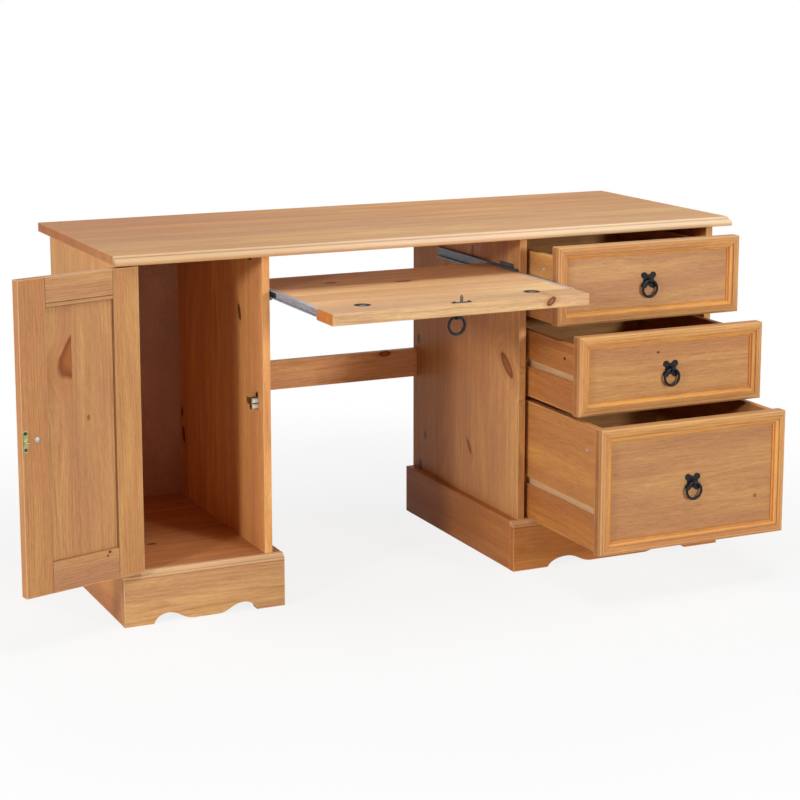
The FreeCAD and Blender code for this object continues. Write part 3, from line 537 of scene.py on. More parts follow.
def top_sheen_and_shade(tree, colour, place, half):
    x, y, z = split(tree, place)
    back = calc(tree, "ADD", y, half[1])
    # Painted sheen at the front, painted shade at the back.
    colour = multiply_colour(tree, fade(tree, back, 0.45, 0.04), colour, FRONT_PAINTED_SHEEN)
    colour = multiply_colour(tree, fade(tree, back, 0.12, 0.50), colour, BACK_PAINTED_SHADE)
    smoke = fade(tree, cloud(tree, place, (0.8, 22.0, 22.0), 4.0, 0.6), 0.52, 0.70, 0.0, 0.6)
    colour = multiply_colour(tree, smoke, colour, SMOKE)
    # Painted highlight on the rounded nose.
    on_nose = fade(tree, back, 0.0208, 0.0192, 0.0, 0.78)
    highlight_and_wear = calc(tree, "MULTIPLY", on_nose, fade(tree, z, -0.008, 0.002, 0.35, 1.0))
    colour = blend(tree, highlight_and_wear, colour, NOSE_PAINTED_HIGHLIGHT)
    # Dark line of painted shade in the quirk.
    quirk = line_at(tree, back, QUIRK_BACK, 0.0006, 0.0019, 0.40)
    colour = blend(tree, quirk, colour, GROOVE_PAINTED_SHADE)
    # Painted sheen towards the right, painted shade towards the left.
    colour = multiply_colour(tree, fade(tree, x, -0.05, 0.35), colour, RIGHT_PAINTED_SHEEN)
    return multiply_colour(tree, fade(tree, x, 0.0, -0.60), colour, LEFT_PAINTED_SHADE)


pine_board("desk_top", X, Y, pith=(0.004, 0.0, -0.09), luck=1.0, stave=(BIG, 0.092, BIG),
           ring=0.0075, contrast=0.6, stain=(0.95, 0.97, 0.98), end_grain=(0.95, 0.64, 0.46),
           tint=top_sheen_and_shade)
print("top dressed with", nodes["desk_top"].material_slots[0].material.name)

# %% [markdown]
# ## The side panels
# The panels' staves stand upright, and their end grain hides under the top. The knots are put where the real
# panels have them, because a knot is noticed before anything else. The panel at the right of the kneehole is
# painted browner towards the back, as painted shade where little light reaches.

# %% Four side panels
GLUED = (BIG, 0.088, BIG)
KNEEHOLE_PAINTED_SHADE = (0.63, 0.51, 0.42)
PAINTED_SHADE_STARTS, PAINTED_SHADE_FULL = 0.06, 0.56


def panel_painted_shade(tree, colour, place, half):
    depth = calc(tree, "ADD", split(tree, place)[1], half[1])
    # Painted shade, browner towards the back of the kneehole.
    return multiply_colour(tree, fade(tree, depth, PAINTED_SHADE_STARTS, PAINTED_SHADE_FULL), colour, KNEEHOLE_PAINTED_SHADE)


left_knots = [knot(at(333, 138, 629), 18, 8, Lean=-0.6), knot(at(333, 529, 267), 20, 9, Lean=-0.4),
              knot(at(333, 537, 321), 12, 6)]
right_knots = [knot(at(957, 528, 451), 13, 7), knot(at(957, 284, 515), 7, 6),
               knot(at(957, 517, 128), 14, 10), knot(at(957, 489, 212), 10, 5.5),
               knot(at(957, 235, 712), 15, 6, "flame"), knot(at(957, 57, 470), 27, 20, "flame", Lean=-1.15),
               knot(at(957, 246, 236), 16, 7, "flame", Lean=-1.4)]
pine_board("left_outer_panel", Z, Y, pith=(0.012, 0.0, 0.07), luck=2.0, stave=GLUED,
           stain=(1.0, 0.95, 0.82))
pine_board("left_inner_panel", Z, Y, pith=(0.010, 0.02, 0.06), luck=3.0, stave=GLUED,
           contrast=0.8, knots=left_knots, stain=(1.25, 1.18, 1.10))
pine_board("right_inner_panel", Z, Y, pith=(0.010, 0.01, 0.06), luck=4.0, stave=GLUED,
           contrast=0.65, knots=right_knots, stain=(1.12, 1.15, 1.17), tint=panel_painted_shade)
pine_board("right_outer_panel", Z, Y, pith=(0.012, 0.01, 0.07), luck=5.0, stave=GLUED)
print(len(left_knots + right_knots), "knots in the side panels")

# %% [markdown]
# ## Floors and stretcher
# The floor boards of both pedestals share one node, so their staves are also cut every half metre along the
# desk, and each floor gets its own wood. The stretcher at the back of the kneehole is a single length.

# %% Floors and stretcher
pine_board("floor_boards", X, Y, pith=(0.01, 0.0, -0.07), luck=6.0, stave=(0.5, 0.09, BIG),
           contrast=0.7, knots=[knot(at(131, 172, 117), 10, 5)], stain=(1.0, 0.88, 0.90))
pine_board("stretcher", X, Z, pith=(0.012, 0.01, 0.05), luck=7.0,
           knots=[knot(at(868, 538, 418), 16, 7, "flame")], stain=(1.29, 1.37, 1.60))
print("floors and stretcher dressed")

# %% [markdown]
# ## Plinths
# A plinth is three single boards with a small cove along their upper edge. The front's cove gets a painted
# highlight, and its two grooves dark lines of painted shade. The side boards are stained darker as painted
# shade, and so is the right plinth's front, under the bottom drawer. The right plinth's board in the kneehole
# is also painted browner towards the back, like the panel above it; the other side board of that node is not.

# %% Plinth boards
# The side boards' stains and the right front's stain are painted shade.
PLINTH_STAIN_AND_SHADE = {"left": ((0.98, 1.07, 1.24), (0.86, 0.67, 0.48)),
                "right": ((0.97, 0.78, 0.58), (0.80, 0.62, 0.44))}
COVE_PAINTED_HIGHLIGHT = paint(0.860, 0.590, 0.330)
COVE_SHADE_LINES = ((0.0084, 0.30), (0.0148, 0.35))


def cove_highlight_and_shade(tree, colour, place, half):
    down = calc(tree, "SUBTRACT", half[1], split(tree, place)[1])
    # Painted highlight on the cove.
    colour = blend(tree, fade(tree, down, 0.0080, 0.0150, 0.60, 0.0), colour, COVE_PAINTED_HIGHLIGHT)
    for groove, strong in COVE_SHADE_LINES:
        # Dark lines of painted shade in the cove's two grooves.
        colour = blend(tree, line_at(tree, down, groove, 0.0005, 0.0014, strong), colour, GROOVE_PAINTED_SHADE)
    return colour


def plinth_painted_shade(tree, colour, place, half):
    along, _, right = split(tree, place)
    depth = fade(tree, calc(tree, "ADD", along, half[0]), PAINTED_SHADE_STARTS, PAINTED_SHADE_FULL)
    in_kneehole = fade(tree, right, 0.05, -0.05)
    # Painted shade towards the back of the kneehole.
    return multiply_colour(tree, calc(tree, "MULTIPLY", depth, in_kneehole), colour, KNEEHOLE_PAINTED_SHADE)


PLINTH_TINT = {"left": None, "right": plinth_painted_shade}
for i, side in enumerate(PLINTH_STAIN_AND_SHADE):
    front_stain_and_shade, side_painted_shade = PLINTH_STAIN_AND_SHADE[side]
    pine_board(side + "_plinth_front", X, Z, pith=(0.008, 0.01, 0.05), luck=8.0 + i,
               stain=front_stain_and_shade, tint=cove_highlight_and_shade)
    pine_board(side + "_plinth_sides", Y, Z, pith=(0.010, 0.02, 0.05), luck=10.0 + i,
               stave=(BIG, BIG, 0.2), arris=0.25, stain=side_painted_shade, tint=PLINTH_TINT[side])
print(len(PLINTH_STAIN_AND_SHADE), "plinths dressed")

# %% [markdown]
# ## The door
# A frame and panel door: two stiles run the full height, the rails fit between them, and a thin panel of
# three staves floats in their grooves. The seams between stile and rail show as fine dark lines. The panel's
# big brown flame is half a branch, sawn through at a glue line.

# %% Stiles, rails and panel
rail_ends = [(on_door(109, 10, 446), DOOR_ALONG), (on_door(269, 10, 446), DOOR_ALONG)]
rail_line = [(on_door(189, 20, 710.5), Z), (on_door(189, 20, 719), Z)]
panel_rim = [(on_door(109.5, 14, 446), DOOR_ALONG), (on_door(268.5, 14, 446), DOOR_ALONG),
             (on_door(189, 14, 185.5), Z), (on_door(189, 14, 709.5), Z)]
rail_knots = [knot(on_door(132.6, 20, 181), 3.5, 3.0), knot(on_door(137.5, 20, 174), 3.0, 2.5)]
panel_knots = [knot(on_door(208, 14, 603), 43, 28, "flame", Clip=0.0, Taper=-0.62),
               knot(on_door(172, 14, 472), 5, 3, "flame"), knot(on_door(243, 14, 475), 60, 9, "swirl")]
pine_board("door_hinge_stile", Z, DOOR_ALONG, pith=(0.006, 0.05, 0.03), luck=12.0, ring=0.006,
           seams=rail_ends, stain=(0.93, 0.93, 0.95))
pine_board("door_free_stile", Z, DOOR_ALONG, pith=(0.007, -0.05, 0.03), luck=13.0, ring=0.006,
           seams=rail_ends, stain=(0.83, 0.80, 0.83))
pine_board("door_rails", DOOR_ALONG, Z, pith=(0.010, 0.01, 0.05), luck=14.0, stave=(BIG, 0.4, BIG),
           ring=0.006, seams=rail_ends + rail_line, knots=rail_knots, stain=(0.85, 0.87, 1.04))
pine_board("door_panel", Z, DOOR_ALONG, pith=(0.010, -0.015, 0.05), luck=15.0,
           stave=(BIG, 0.0597, BIG), joint=0.011, seams=panel_rim, knots=panel_knots,
           stain=(0.89, 0.89, 0.98))
print("door dressed, with", len(rail_ends + rail_line + panel_rim), "seams")

# %% [markdown]
# ## The drawers
# The groove that rides on the runner is bare wood. A point lies in it when its height is right and it is a
# little way inside the side's face, so no new piece is needed. The wood below may have a stain of its own.

# %% A bare groove
BARE_PINE = paint(0.700, 0.480, 0.265)
GROOVE_HIGH, GROOVE_SPARE = 18.0, 0.3
GROOVE_SKIN, GROOVE_DEEP = 0.0003, 0.0085


def bare_groove(up, foot):
    def tint(tree, colour, place, half):
        _, y, z = split(tree, place)
        height = calc(tree, "ADD", y, half[1])
        depth = calc(tree, "SUBTRACT", half[2], calc(tree, "ABSOLUTE", z))
        colour = multiply_colour(tree, calc(tree, "LESS_THAN", height, up * MM), colour, foot)
        inside = calc(tree, "GREATER_THAN", height, (up - GROOVE_SPARE) * MM)
        limits = (("LESS_THAN", height, (up + GROOVE_HIGH + GROOVE_SPARE) * MM),
                  ("GREATER_THAN", depth, GROOVE_SKIN), ("LESS_THAN", depth, GROOVE_DEEP))
        for test, value, limit in limits:
            inside = calc(tree, "MULTIPLY", inside, calc(tree, test, value, limit))
        grit = fade(tree, cloud(tree, place, (12.0, 300.0, 300.0)), 0.3, 0.7, 0.62, 0.95)
        return blend(tree, calc(tree, "MULTIPLY", inside, grit), colour, BARE_PINE)
    return tint


print("grooves are", GROOVE_HIGH, "mm high")

# %% [markdown]
# Each front is one wide, quiet board. The drawers differ in age and in how they are lit, so each front and
# each pair of sides has a stain of its own; on the sides it also paints the shade they stand in. The middle
# front's glue line is moved.

# %% Fronts, sides, backs and runners
DRAWERS = ("top", "middle", "bottom")
GROOVE_UP = (68.0, 68.0, 79.0)
FRONT_STAIN = ((0.88, 0.93, 1.11), (0.89, 0.88, 0.93), (0.84, 0.84, 0.92))
# The side stains are partly painted shade, darkest on the middle drawer.
SIDE_STAIN_AND_SHADE = ((1.02, 1.03, 0.94), (0.84, 0.70, 0.49), (1.01, 0.93, 0.74))
FOOT_STAIN = ((1.0, 1.0, 1.0), (1.0, 1.0, 1.0), (0.81, 0.71, 0.62))
FRONT_JOINT = (0.0, 0.14, 0.0)
FRONT_KNOTS = ([knot(at(1222, -131, 738), 34, 13, "swirl")],
               [knot(at(1182.7, -230, 533), 4.2, 2.4)],
               [knot(at(1382.5, -329, 207), 4, 4, "flame"), knot(at(1340, -329, 235), 40, 12, "swirl")])
for i, drawer in enumerate(DRAWERS):
    pine_board(drawer + "_drawer_front", X, Z, pith=(0.022, 0.01, 0.045), luck=20.0 + i,
               stave=(BIG, 0.30, BIG), ring=0.0056, contrast=0.24, knots=FRONT_KNOTS[i],
               joint=FRONT_JOINT[i], stain=FRONT_STAIN[i])
    pine_board(drawer + "_drawer_sides", Y, Z, pith=(0.012, 0.01, 0.05), luck=24.0 + i,
               stave=(BIG, 0.11, 0.25), stain=SIDE_STAIN_AND_SHADE[i], tint=bare_groove(GROOVE_UP[i], FOOT_STAIN[i]))
    pine_board(drawer + "_drawer_back", X, Z, pith=(0.012, 0.01, 0.05), luck=28.0 + i,
               stave=(BIG, 0.11, BIG))
pine_board("drawer_runners", Y, Z, pith=(0.004, 0.02, 0.04), luck=32.0, stave=(BIG, 0.1, 0.2), ring=0.006)
print(3 * len(DRAWERS) + 1, "drawer pieces dressed")

# %% [markdown]
# ## Mitred mouldings
# A moulding frames each drawer front. Its grooves get dark lines of painted shade, its crests pale lines of
# painted highlight, and its bead is painted brighter and more orange, as painted light. All these lines run
# parallel to the frame's outer edge, so the distance from it is all that the colours need.

# %% The profile's painted highlights and shade
MOULDING_GROOVE_SHADE = paint(0.200, 0.072, 0.024)
CREST_PAINTED_HIGHLIGHT = paint(0.830, 0.540, 0.250)
BEAD_PAINTED_LIGHT = (1.18, 1.12, 0.84)
BEAD_STARTS = (0.0170, 0.0190)
CREST_HIGHLIGHTS = ((0.0012, 0.55), (0.0066, 0.30), (0.0225, 0.40))
GROOVE_SHADES = ((0.0178, 0.30), (0.0286, 0.30))


def moulding_highlight_and_shade(tree, colour, edge):
    # Bead painted brighter and more orange, as painted light.
    colour = multiply_colour(tree, fade(tree, edge, *BEAD_STARTS, 0.0, 0.9), colour, BEAD_PAINTED_LIGHT)
    for crest, strong in CREST_HIGHLIGHTS:
        # Pale lines of painted highlight on the crests.
        colour = blend(tree, line_at(tree, edge, crest, 0.0004, 0.0018, strong), colour, CREST_PAINTED_HIGHLIGHT)
    for groove, strong in GROOVE_SHADES:
        # Dark lines of painted shade in the grooves.
        colour = blend(tree, line_at(tree, edge, groove, 0.0004, 0.0015, strong), colour, MOULDING_GROOVE_SHADE)
    return colour


print("crests at", [round(place / MM, 1) for place, _ in CREST_HIGHLIGHTS], "mm from the edge")

# %% [markdown]
# The four lengths are cut from one strip, so the grain turns the corner at the mitre. A point belongs to an
# upright length when it is nearer to an end of the frame than to its top or bottom. So the moulding starts
# as a plain board, and its grain is then fed with turned coordinates there. Where both distances are equal
# lies the mitre, a hairline of dark glue.

# %% Mouldings
# The bottom drawer's moulding is stained darker as painted shade.
MOULDING_STAIN_AND_SHADE = ((1.00, 0.97, 0.90), (0.98, 0.94, 0.85), (0.91, 0.86, 0.80))
NEXT_LENGTH = (3.0, 0.17, 0.0)


def pine_moulding(name, luck, stain):
    finish = pine_board(name, X, Z, pith=(0.004, 0.03, 0.03), luck=luck,
                        stave=(BIG, 0.10, BIG), ring=0.0055, contrast=0.55, arris=0.30, stain=stain)
    tree = finish.node_tree
    half = turned_box(name, X, Z)[2]
    flat = tree.nodes["board_ruler"].outputs[0]
    turned = step(tree, "Mapping", flat, None, (0.0, 0.0, -math.pi / 2))
    upright = shift(tree, "ADD", turned, NEXT_LENGTH)
    inside = shift(tree, "SUBTRACT", half, shift(tree, "ABSOLUTE", flat))
    from_end, from_rail, _ = split(tree, inside)
    lead = calc(tree, "SUBTRACT", from_end, from_rail)
    stands = calc(tree, "LESS_THAN", lead, 0.0)
    pick = step(tree, "Mix", stands, None, None, None, flat, upright, out=1, data_type="VECTOR")
    for socket in ("Place", "Moved"):
        feed(tree, tree.nodes["board_grain"].inputs[socket], pick)
    base = tree.nodes["Principled BSDF"].inputs["Base Color"]
    edge = calc(tree, "MINIMUM", from_end, from_rail)
    colour = moulding_highlight_and_shade(tree, base.links[0].from_socket, edge)
    mitre = line_at(tree, lead, 0.0, 0.0002, 0.0009, 0.3)
    feed(tree, base, blend(tree, mitre, colour, SEAM_DARK))


for i, drawer in enumerate(DRAWERS):
    pine_moulding(drawer + "_drawer_moulding", 36.0 + i, MOULDING_STAIN_AND_SHADE[i])
print(len(DRAWERS), "mouldings dressed")

# %% [markdown]
# ## Keyboard tray and its drop front
# The tray is glued from staves like the top, and it is paler towards the right. The drop front is a single
# thick board with one large ringed knot in its front edge. That branch runs in from the front, so its endless
# reach lies across the board.

# %% Tray and drop front
PALER_RIGHT = (1.11, 1.22, 1.30)


def tray_paler_right(tree, colour, place, half):
    return multiply_colour(tree, fade(tree, split(tree, place)[0], -0.08, 0.24), colour, PALER_RIGHT)


tray_knots = [knot(at(508, 38, 696), 13, 6), knot(at(662, -9, 696), 20, 7, "flame")]
edge_knot = (at(857.3, -323, 686), (0.0105, BIG, 0.0080), "ringed", {"Tilt": -0.6})
pine_board("tray_board", X, Y, pith=(0.006, 0.0, -0.08), luck=40.0, stave=(BIG, 0.085, BIG),
           contrast=0.42, knots=tray_knots, stain=(1.30, 1.55, 1.92), tint=tray_paler_right)
pine_board("flap_board", X, Y, pith=(0.006, 0.02, -0.06), luck=41.0, knots=[edge_knot],
           stain=(1.12, 1.36, 1.84), end_grain=(0.95, 0.40, 0.05))
print("tray and drop front dressed")

# %% [markdown]
# ## Hardboard
# Backs and drawer bottoms are hardboard: pressed brown fibre, smooth and stained towards the pine. There is
# no grain, only a felt of short hairs and slow clouds of stain, so one small recipe serves all.

# %% Hardboard finish
HARDBOARD = ("back_panels", "top_drawer_bottom", "middle_drawer_bottom", "bottom_drawer_bottom")
BOARD_DARK = paint(0.545, 0.272, 0.148)
BOARD_PALE = paint(0.685, 0.368, 0.205)
FELT_BROWN = paint(0.330, 0.132, 0.064)


def fibre_board(name):
    finish, tree, skin = new_finish("hardboard_" + name)
    place = tree.nodes.new("ShaderNodeTexCoord").outputs["Object"]
    hair = cloud(tree, place, (420.0, 420.0, 420.0), 4.0, 0.7)
    stain = cloud(tree, place, (9.0, 9.0, 5.0), 3.0)
    colour = blend(tree, fade(tree, stain, 0.3, 0.7), BOARD_DARK, BOARD_PALE)
    colour = blend(tree, fade(tree, hair, 0.42, 0.68, 0.0, 0.5), colour, FELT_BROWN)
    feed(tree, skin["Base Color"], colour)
    feed(tree, skin["Roughness"], calc(tree, "MULTIPLY_ADD", hair, 0.3, 0.45))
    feed(tree, skin["Normal"], step(tree, "Bump", 0.12, 0.0005, None, hair))
    dress(name, finish)


for name in HARDBOARD:
    fibre_board(name)
print(len(HARDBOARD), "hardboard pieces dressed")

# %% [markdown]
# ## Metals, nylon and plastic
# All the fittings are small, so each finish is one recipe with other numbers: two shades mixed by a slow
# cloud, fine marks drawn along one direction, and a gloss that varies with those marks.

# %% A finish for fittings
SLOW_CLOUD = (60.0, 60.0, 60.0)
MARK_SHARE, SLOW_SHARE = 0.45, 0.55


def fitting(name, pieces, dark, light, metal, gloss, marks, shine=0.5, relief=0.05, depth=0.0002):
    finish, tree, skin = new_finish(name)
    place = tree.nodes.new("ShaderNodeTexCoord").outputs["Object"]
    slow = cloud(tree, place, SLOW_CLOUD, 3.0)
    mark = cloud(tree, place, marks, 3.0, 0.6)
    mixed = calc(tree, "MULTIPLY_ADD", mark, MARK_SHARE, calc(tree, "MULTIPLY", slow, SLOW_SHARE))
    colour = blend(tree, fade(tree, mixed, 0.34, 0.66), paint(*dark), paint(*light))
    feed(tree, skin["Base Color"], colour)
    feed(tree, skin["Roughness"], calc(tree, "MULTIPLY_ADD", mark, 0.25, gloss - 0.12))
    feed(tree, skin["Normal"], step(tree, "Bump", relief, depth, None, mark))
    skin["Metallic"].default_value = metal
    skin["Specular IOR Level"].default_value = shine
    for piece in pieces:
        dress(piece, finish)
    return finish


print("fitting recipe ready")

# %% [markdown]
# The pulls are cast iron painted black, the door's hinges and the brackets plain dark steel. The slides, the
# catch and the strikes are zinc plated: bright, yellow, or brown with age, and the outer halves of the slides
# are a darker copy of the zinc, as painted shade. The catch rollers are nylon, and the stops of the slides
# plastic.

# %% Fittings
PULLS = [owner + part for owner in ("door_", "flap_", "top_drawer_", "middle_drawer_", "bottom_drawer_")
         for part in ("pull_plate", "ring")]
HINGE_HALVES = ["flap_hinge_tray_halves", "flap_hinge_flap_halves"]
BLACK_IRON = fitting("black_iron", PULLS + HINGE_HALVES, (0.006, 0.006, 0.008), (0.018, 0.018, 0.021),
                     0.0, 0.32, (300.0, 300.0, 300.0), shine=0.18, relief=0.25, depth=0.0004)
ZINC = fitting("zinc", ["tray_slide_inner"], (0.420, 0.430, 0.480), (0.560, 0.570, 0.620),
               0.25, 0.38, (500.0, 20.0, 500.0))
# The outer halves of the slides: zinc painted darker, as painted shade.
fitting("zinc_painted_shade", ["tray_slide_outer"], (0.075, 0.078, 0.092), (0.130, 0.135, 0.160),
        0.4, 0.45, (500.0, 20.0, 500.0))
fitting("yellow_zinc", ["door_catch", "door_strike"], (0.230, 0.235, 0.085), (0.580, 0.560, 0.290),
        1.0, 0.36, (200.0, 200.0, 200.0))
fitting("aged_zinc", ["flap_strike"], (0.040, 0.033, 0.024), (0.130, 0.108, 0.078),
        0.8, 0.40, (250.0, 250.0, 250.0))
fitting("dark_steel", ["top_brackets", "hinge_frame_leaves", "hinge_door_leaves"],
        (0.040, 0.039, 0.040), (0.090, 0.089, 0.090), 0.9, 0.42, (900.0, 900.0, 60.0))
fitting("nylon", ["door_roller_upper", "door_roller_lower"], (0.700, 0.690, 0.650), (0.800, 0.795, 0.765),
        0.0, 0.42, (400.0, 400.0, 400.0))
fitting("black_plastic", ["tray_slide_stops"], (0.012, 0.012, 0.013), (0.024, 0.024, 0.026),
        0.0, 0.40, (600.0, 600.0, 600.0))
print(len(PULLS), "pieces of the pulls dressed with", BLACK_IRON.name)

# %% [markdown]
# ## Screw heads
# The strikes, the catch and the drawer boxes are held by small pan head screws. A pan head is a short
# cylinder with a rounded rim and a cross pressed into its top. A boolean cut is the quickest way to the
# cross, so two thin bars are taken out of the head, one after the other.

# %% Helpers for modelling
def hold(*pieces):
    bpy.ops.object.select_all(action="DESELECT")
    for piece in pieces:
        piece.select_set(True)
    bpy.context.view_layer.objects.active = pieces[0]


def go_to(mode):
    bpy.ops.object.mode_set(mode=mode)


def pick_faces(piece, test):
    bpy.context.tool_settings.mesh_select_mode = (False, False, True)
    go_to("EDIT")
    bpy.ops.mesh.select_all(action="DESELECT")
    go_to("OBJECT")
    for face in piece.data.polygons:
        face.select = test(face)
    go_to("EDIT")


def cut_bar(piece, wide, deep, low, high):
    middle, size = (0.0, 0.0, (low + high) / 2), (wide, deep, high - low)
    bpy.ops.mesh.primitive_cube_add(size=1.0, location=middle, scale=size)
    bar = bpy.context.object
    cut = piece.modifiers.new("cross", "BOOLEAN")
    cut.operation = "DIFFERENCE"
    cut.object = bar
    hold(piece)
    bpy.ops.object.modifier_apply(modifier="cross")
    bpy.data.objects.remove(bar)


print("helpers for modelling ready")

# %% [markdown]
# The head stands on the origin and looks up, so that its copies can be turned to any face. Edges sharper than
# 35 degrees stay crisp.

# %% One pan head
SCREW_RADIUS, SCREW_HEIGHT = 0.0034, 0.0019
RIM_ROUND = 0.6
CROSS_LONG, CROSS_WIDE, CROSS_FLOOR = 1.15, 0.26, 0.55
CRISP_FROM = math.radians(35.0)


def pan_head(radius, height):
    middle = (0.0, 0.0, height / 2)
    bpy.ops.mesh.primitive_cylinder_add(vertices=32, radius=radius, depth=height, location=middle)
    head = bpy.context.object
    bpy.ops.object.transform_apply(location=True, rotation=True, scale=True)
    pick_faces(head, lambda face: face.normal.z > 0.9)
    bpy.ops.mesh.bevel(offset=RIM_ROUND * height, segments=4, affect="EDGES")
    go_to("OBJECT")
    for wide, deep in ((CROSS_LONG, CROSS_WIDE), (CROSS_WIDE, CROSS_LONG)):
        cut_bar(head, wide * radius, deep * radius, CROSS_FLOOR * height, 2.0 * height)
    bpy.ops.object.shade_smooth_by_angle(angle=CRISP_FROM)
    return head


screw = pan_head(SCREW_RADIUS, SCREW_HEIGHT)
print("pan head with", len(screw.data.polygons), "faces")

# %% [markdown]
# What repeats is modelled once and copied. Each copy is turned to its face and its place is applied to the
# mesh. The copies of one set are joined to one piece that rides with its own body.

# %% Copies in their places
def set_copies(name, model, places, finish, body):
    made = []
    for spot, facing in places:
        hold(model)
        bpy.ops.object.duplicate()
        copy = bpy.context.object
        copy.location = spot
        copy.rotation_euler = facing.to_track_quat("Z", "Y").to_euler()
        bpy.ops.object.transform_apply(location=True, rotation=True, scale=True)
        made.append(copy)
    hold(*made)
    bpy.ops.object.join()
    made[0].name = name
    made[0].data.materials.append(finish)
    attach(made[0], body)
    return made[0]


print("ready to set copies")

# %% [markdown]
# The two strikes and the catch are held by blackened screws. Two drawers have bright ones in their sides, and
# the middle drawer has black ones.

# %% Screws in their places
SIDE_SCREWS = {"top": (-60, 708, ZINC, "zinc"), "middle": (-160, 523, BLACK_IRON, "black_iron"),
               "bottom": (-265, 339, ZINC, "zinc")}
strike_places = [(on_door(324, 21.2, 446 + up), DOOR_INWARD) for up in (-17, 17)]
set_copies("door_strike_screws", screw, strike_places, BLACK_IRON, "door")
flap_places = [(at(654 + side, -308, 697.2), Z) for side in (-17, 17)]
set_copies("flap_strike_screws", screw, flap_places, BLACK_IRON, "flap")
catch_places = [(at(331.8, 34, 464), -X)]
set_copies("door_catch_screw", screw, catch_places, BLACK_IRON, "carcass")
for drawer, (y, z, finish, slot_name) in SIDE_SCREWS.items():
    side_places = [(at(985, y, z), -X), (at(1445, y, z), X)]
    set_copies(drawer + "_drawer_screws", screw, side_places, finish, drawer + "_drawer")
bpy.data.objects.remove(screw)
print(len(strike_places + flap_places + catch_places) + 2 * len(SIDE_SCREWS), "screws set")

# %% [markdown]
# ## The bolt of the door pull
# The pull on the door is held by one bolt from inside. Its domed steel head sits on the stile: a ball
# flattened to a low dome and cut level where it meets the wood, which is quicker than turning a profile.

# %% Domed bolt head
DOME_RADIUS, DOME_FLAT = 0.0056, 0.5
ORIGIN = (0.0, 0.0, 0.0)
bpy.ops.mesh.primitive_uv_sphere_add(segments=32, ring_count=16, radius=DOME_RADIUS, location=ORIGIN)
dome = bpy.context.object
go_to("EDIT")
bpy.ops.mesh.select_all(action="SELECT")
bpy.ops.transform.resize(value=(1.0, 1.0, DOME_FLAT))
bpy.ops.mesh.bisect(plane_co=ORIGIN, plane_no=(0.0, 0.0, 1.0), use_fill=True, clear_inner=True)
go_to("OBJECT")
bpy.ops.object.shade_smooth_by_angle(angle=CRISP_FROM)
bolt = set_copies("door_pull_bolt", dome, [(on_door(296, 20.0, 446), DOOR_INWARD)], ZINC, "door")
bpy.data.objects.remove(dome)
print("bolt head", len(bolt.data.polygons), "faces")

# %% [markdown]
# ## Dished flap hinges
# The two round hinges of the drop front are black, with a grey glint painted in the middle of each, as
# painted reflection. The hubs' places come from the solids: each lies on the seam between tray and drop
# front, one hinge radius in from the outer end of the pair.

# %% Black cups with painted glints on the hubs
HUB_PAINTED_GLINT = paint(0.300, 0.270, 0.250)
HINGE_R = 0.018
CUP_BLACK = fitting("cup_black", [], (0.010, 0.010, 0.012), (0.028, 0.029, 0.033), 0.2, 0.28,
                    (120.0, 500.0, 120.0), shine=0.04)
(hub_left, seam, _), (hub_right, _, _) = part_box("flap_hinge_tray_halves")
tree = CUP_BLACK.node_tree
base = tree.nodes["Principled BSDF"].inputs["Base Color"]
x, y, _ = split(tree, tree.nodes.new("ShaderNodeTexCoord").outputs["Object"])
off_middle = calc(tree, "ABSOLUTE", calc(tree, "SUBTRACT", x, (hub_left + hub_right) / 2))
off_hub = calc(tree, "SUBTRACT", off_middle, (hub_right - hub_left) / 2 - HINGE_R)
off_seam = calc(tree, "SUBTRACT", y, seam)
from_hub = shift(tree, "LENGTH", step(tree, "CombineXYZ", off_hub, off_seam, 0.0), out=1)
# Painted glint on each hub.
hub_glint = fade(tree, from_hub, 0.004, 0.011, 0.80, 0.0)
feed(tree, base, blend(tree, hub_glint, base.links[0].from_socket, HUB_PAINTED_GLINT))
print("hubs", round((hub_right - hub_left - 2 * HINGE_R) / MM), "mm apart")

# %% [markdown]
# The hinges are cast with a raised rim round a shallow dish. The solid is flat and made of loose triangles,
# so a copy is merged first. Then its upper face is inset by the rim's width and sunk, and the copy stands in
# for the solid.

# %% Dishes in the hinge halves
RIM_WIDE, DISH_DEEP = 0.0024, 0.0009


def merged_copy(node, name):
    piece = bpy.data.objects.new(name, nodes[node].data.copy())
    bpy.context.scene.collection.objects.link(piece)
    hold(piece)
    go_to("EDIT")
    bpy.ops.mesh.select_all(action="SELECT")
    bpy.ops.mesh.remove_doubles(threshold=0.00001)
    bpy.ops.mesh.dissolve_limited(angle_limit=0.01)
    go_to("OBJECT")
    return piece


for node, body in (("flap_hinge_tray_halves", "tray"), ("flap_hinge_flap_halves", "flap")):
    half = merged_copy(node, node.replace("halves", "dishes"))
    top = max(v.co.z for v in half.data.vertices)
    pick_faces(half, lambda face: face.normal.z > 0.9 and face.center.z > top - 0.0002)
    bpy.ops.mesh.inset(thickness=RIM_WIDE, use_boundary=True)
    bpy.ops.transform.translate(value=(0.0, 0.0, -DISH_DEEP))
    go_to("OBJECT")
    half.data.materials.clear()
    half.data.materials.append(CUP_BLACK)
    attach(half, body)
    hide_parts(node)
    print(half.name, len(half.data.polygons), "faces")

# %% [markdown]
# ## Studio
# The desk stands on a matt pale floor. Seen by the camera, or in glossy metal, the floor is lifted to white,
# more with distance, so that the page stays white but the desk keeps its soft shadow.

# %% Floor
FLOOR_PALE, WHITE = paint(0.86, 0.86, 0.855), paint(1.0, 1.0, 1.0)
LIFT_NEAR, LIFT_FAR = 0.84, 1.0
NEAR, FAR = 0.95, 1.9


def white_seen(tree):
    rays = tree.nodes.new("ShaderNodeLightPath").outputs
    seen = calc(tree, "MAXIMUM", rays["Is Camera Ray"], rays["Is Glossy Ray"])
    return calc(tree, "MAXIMUM", seen, rays["Is Transmission Ray"])


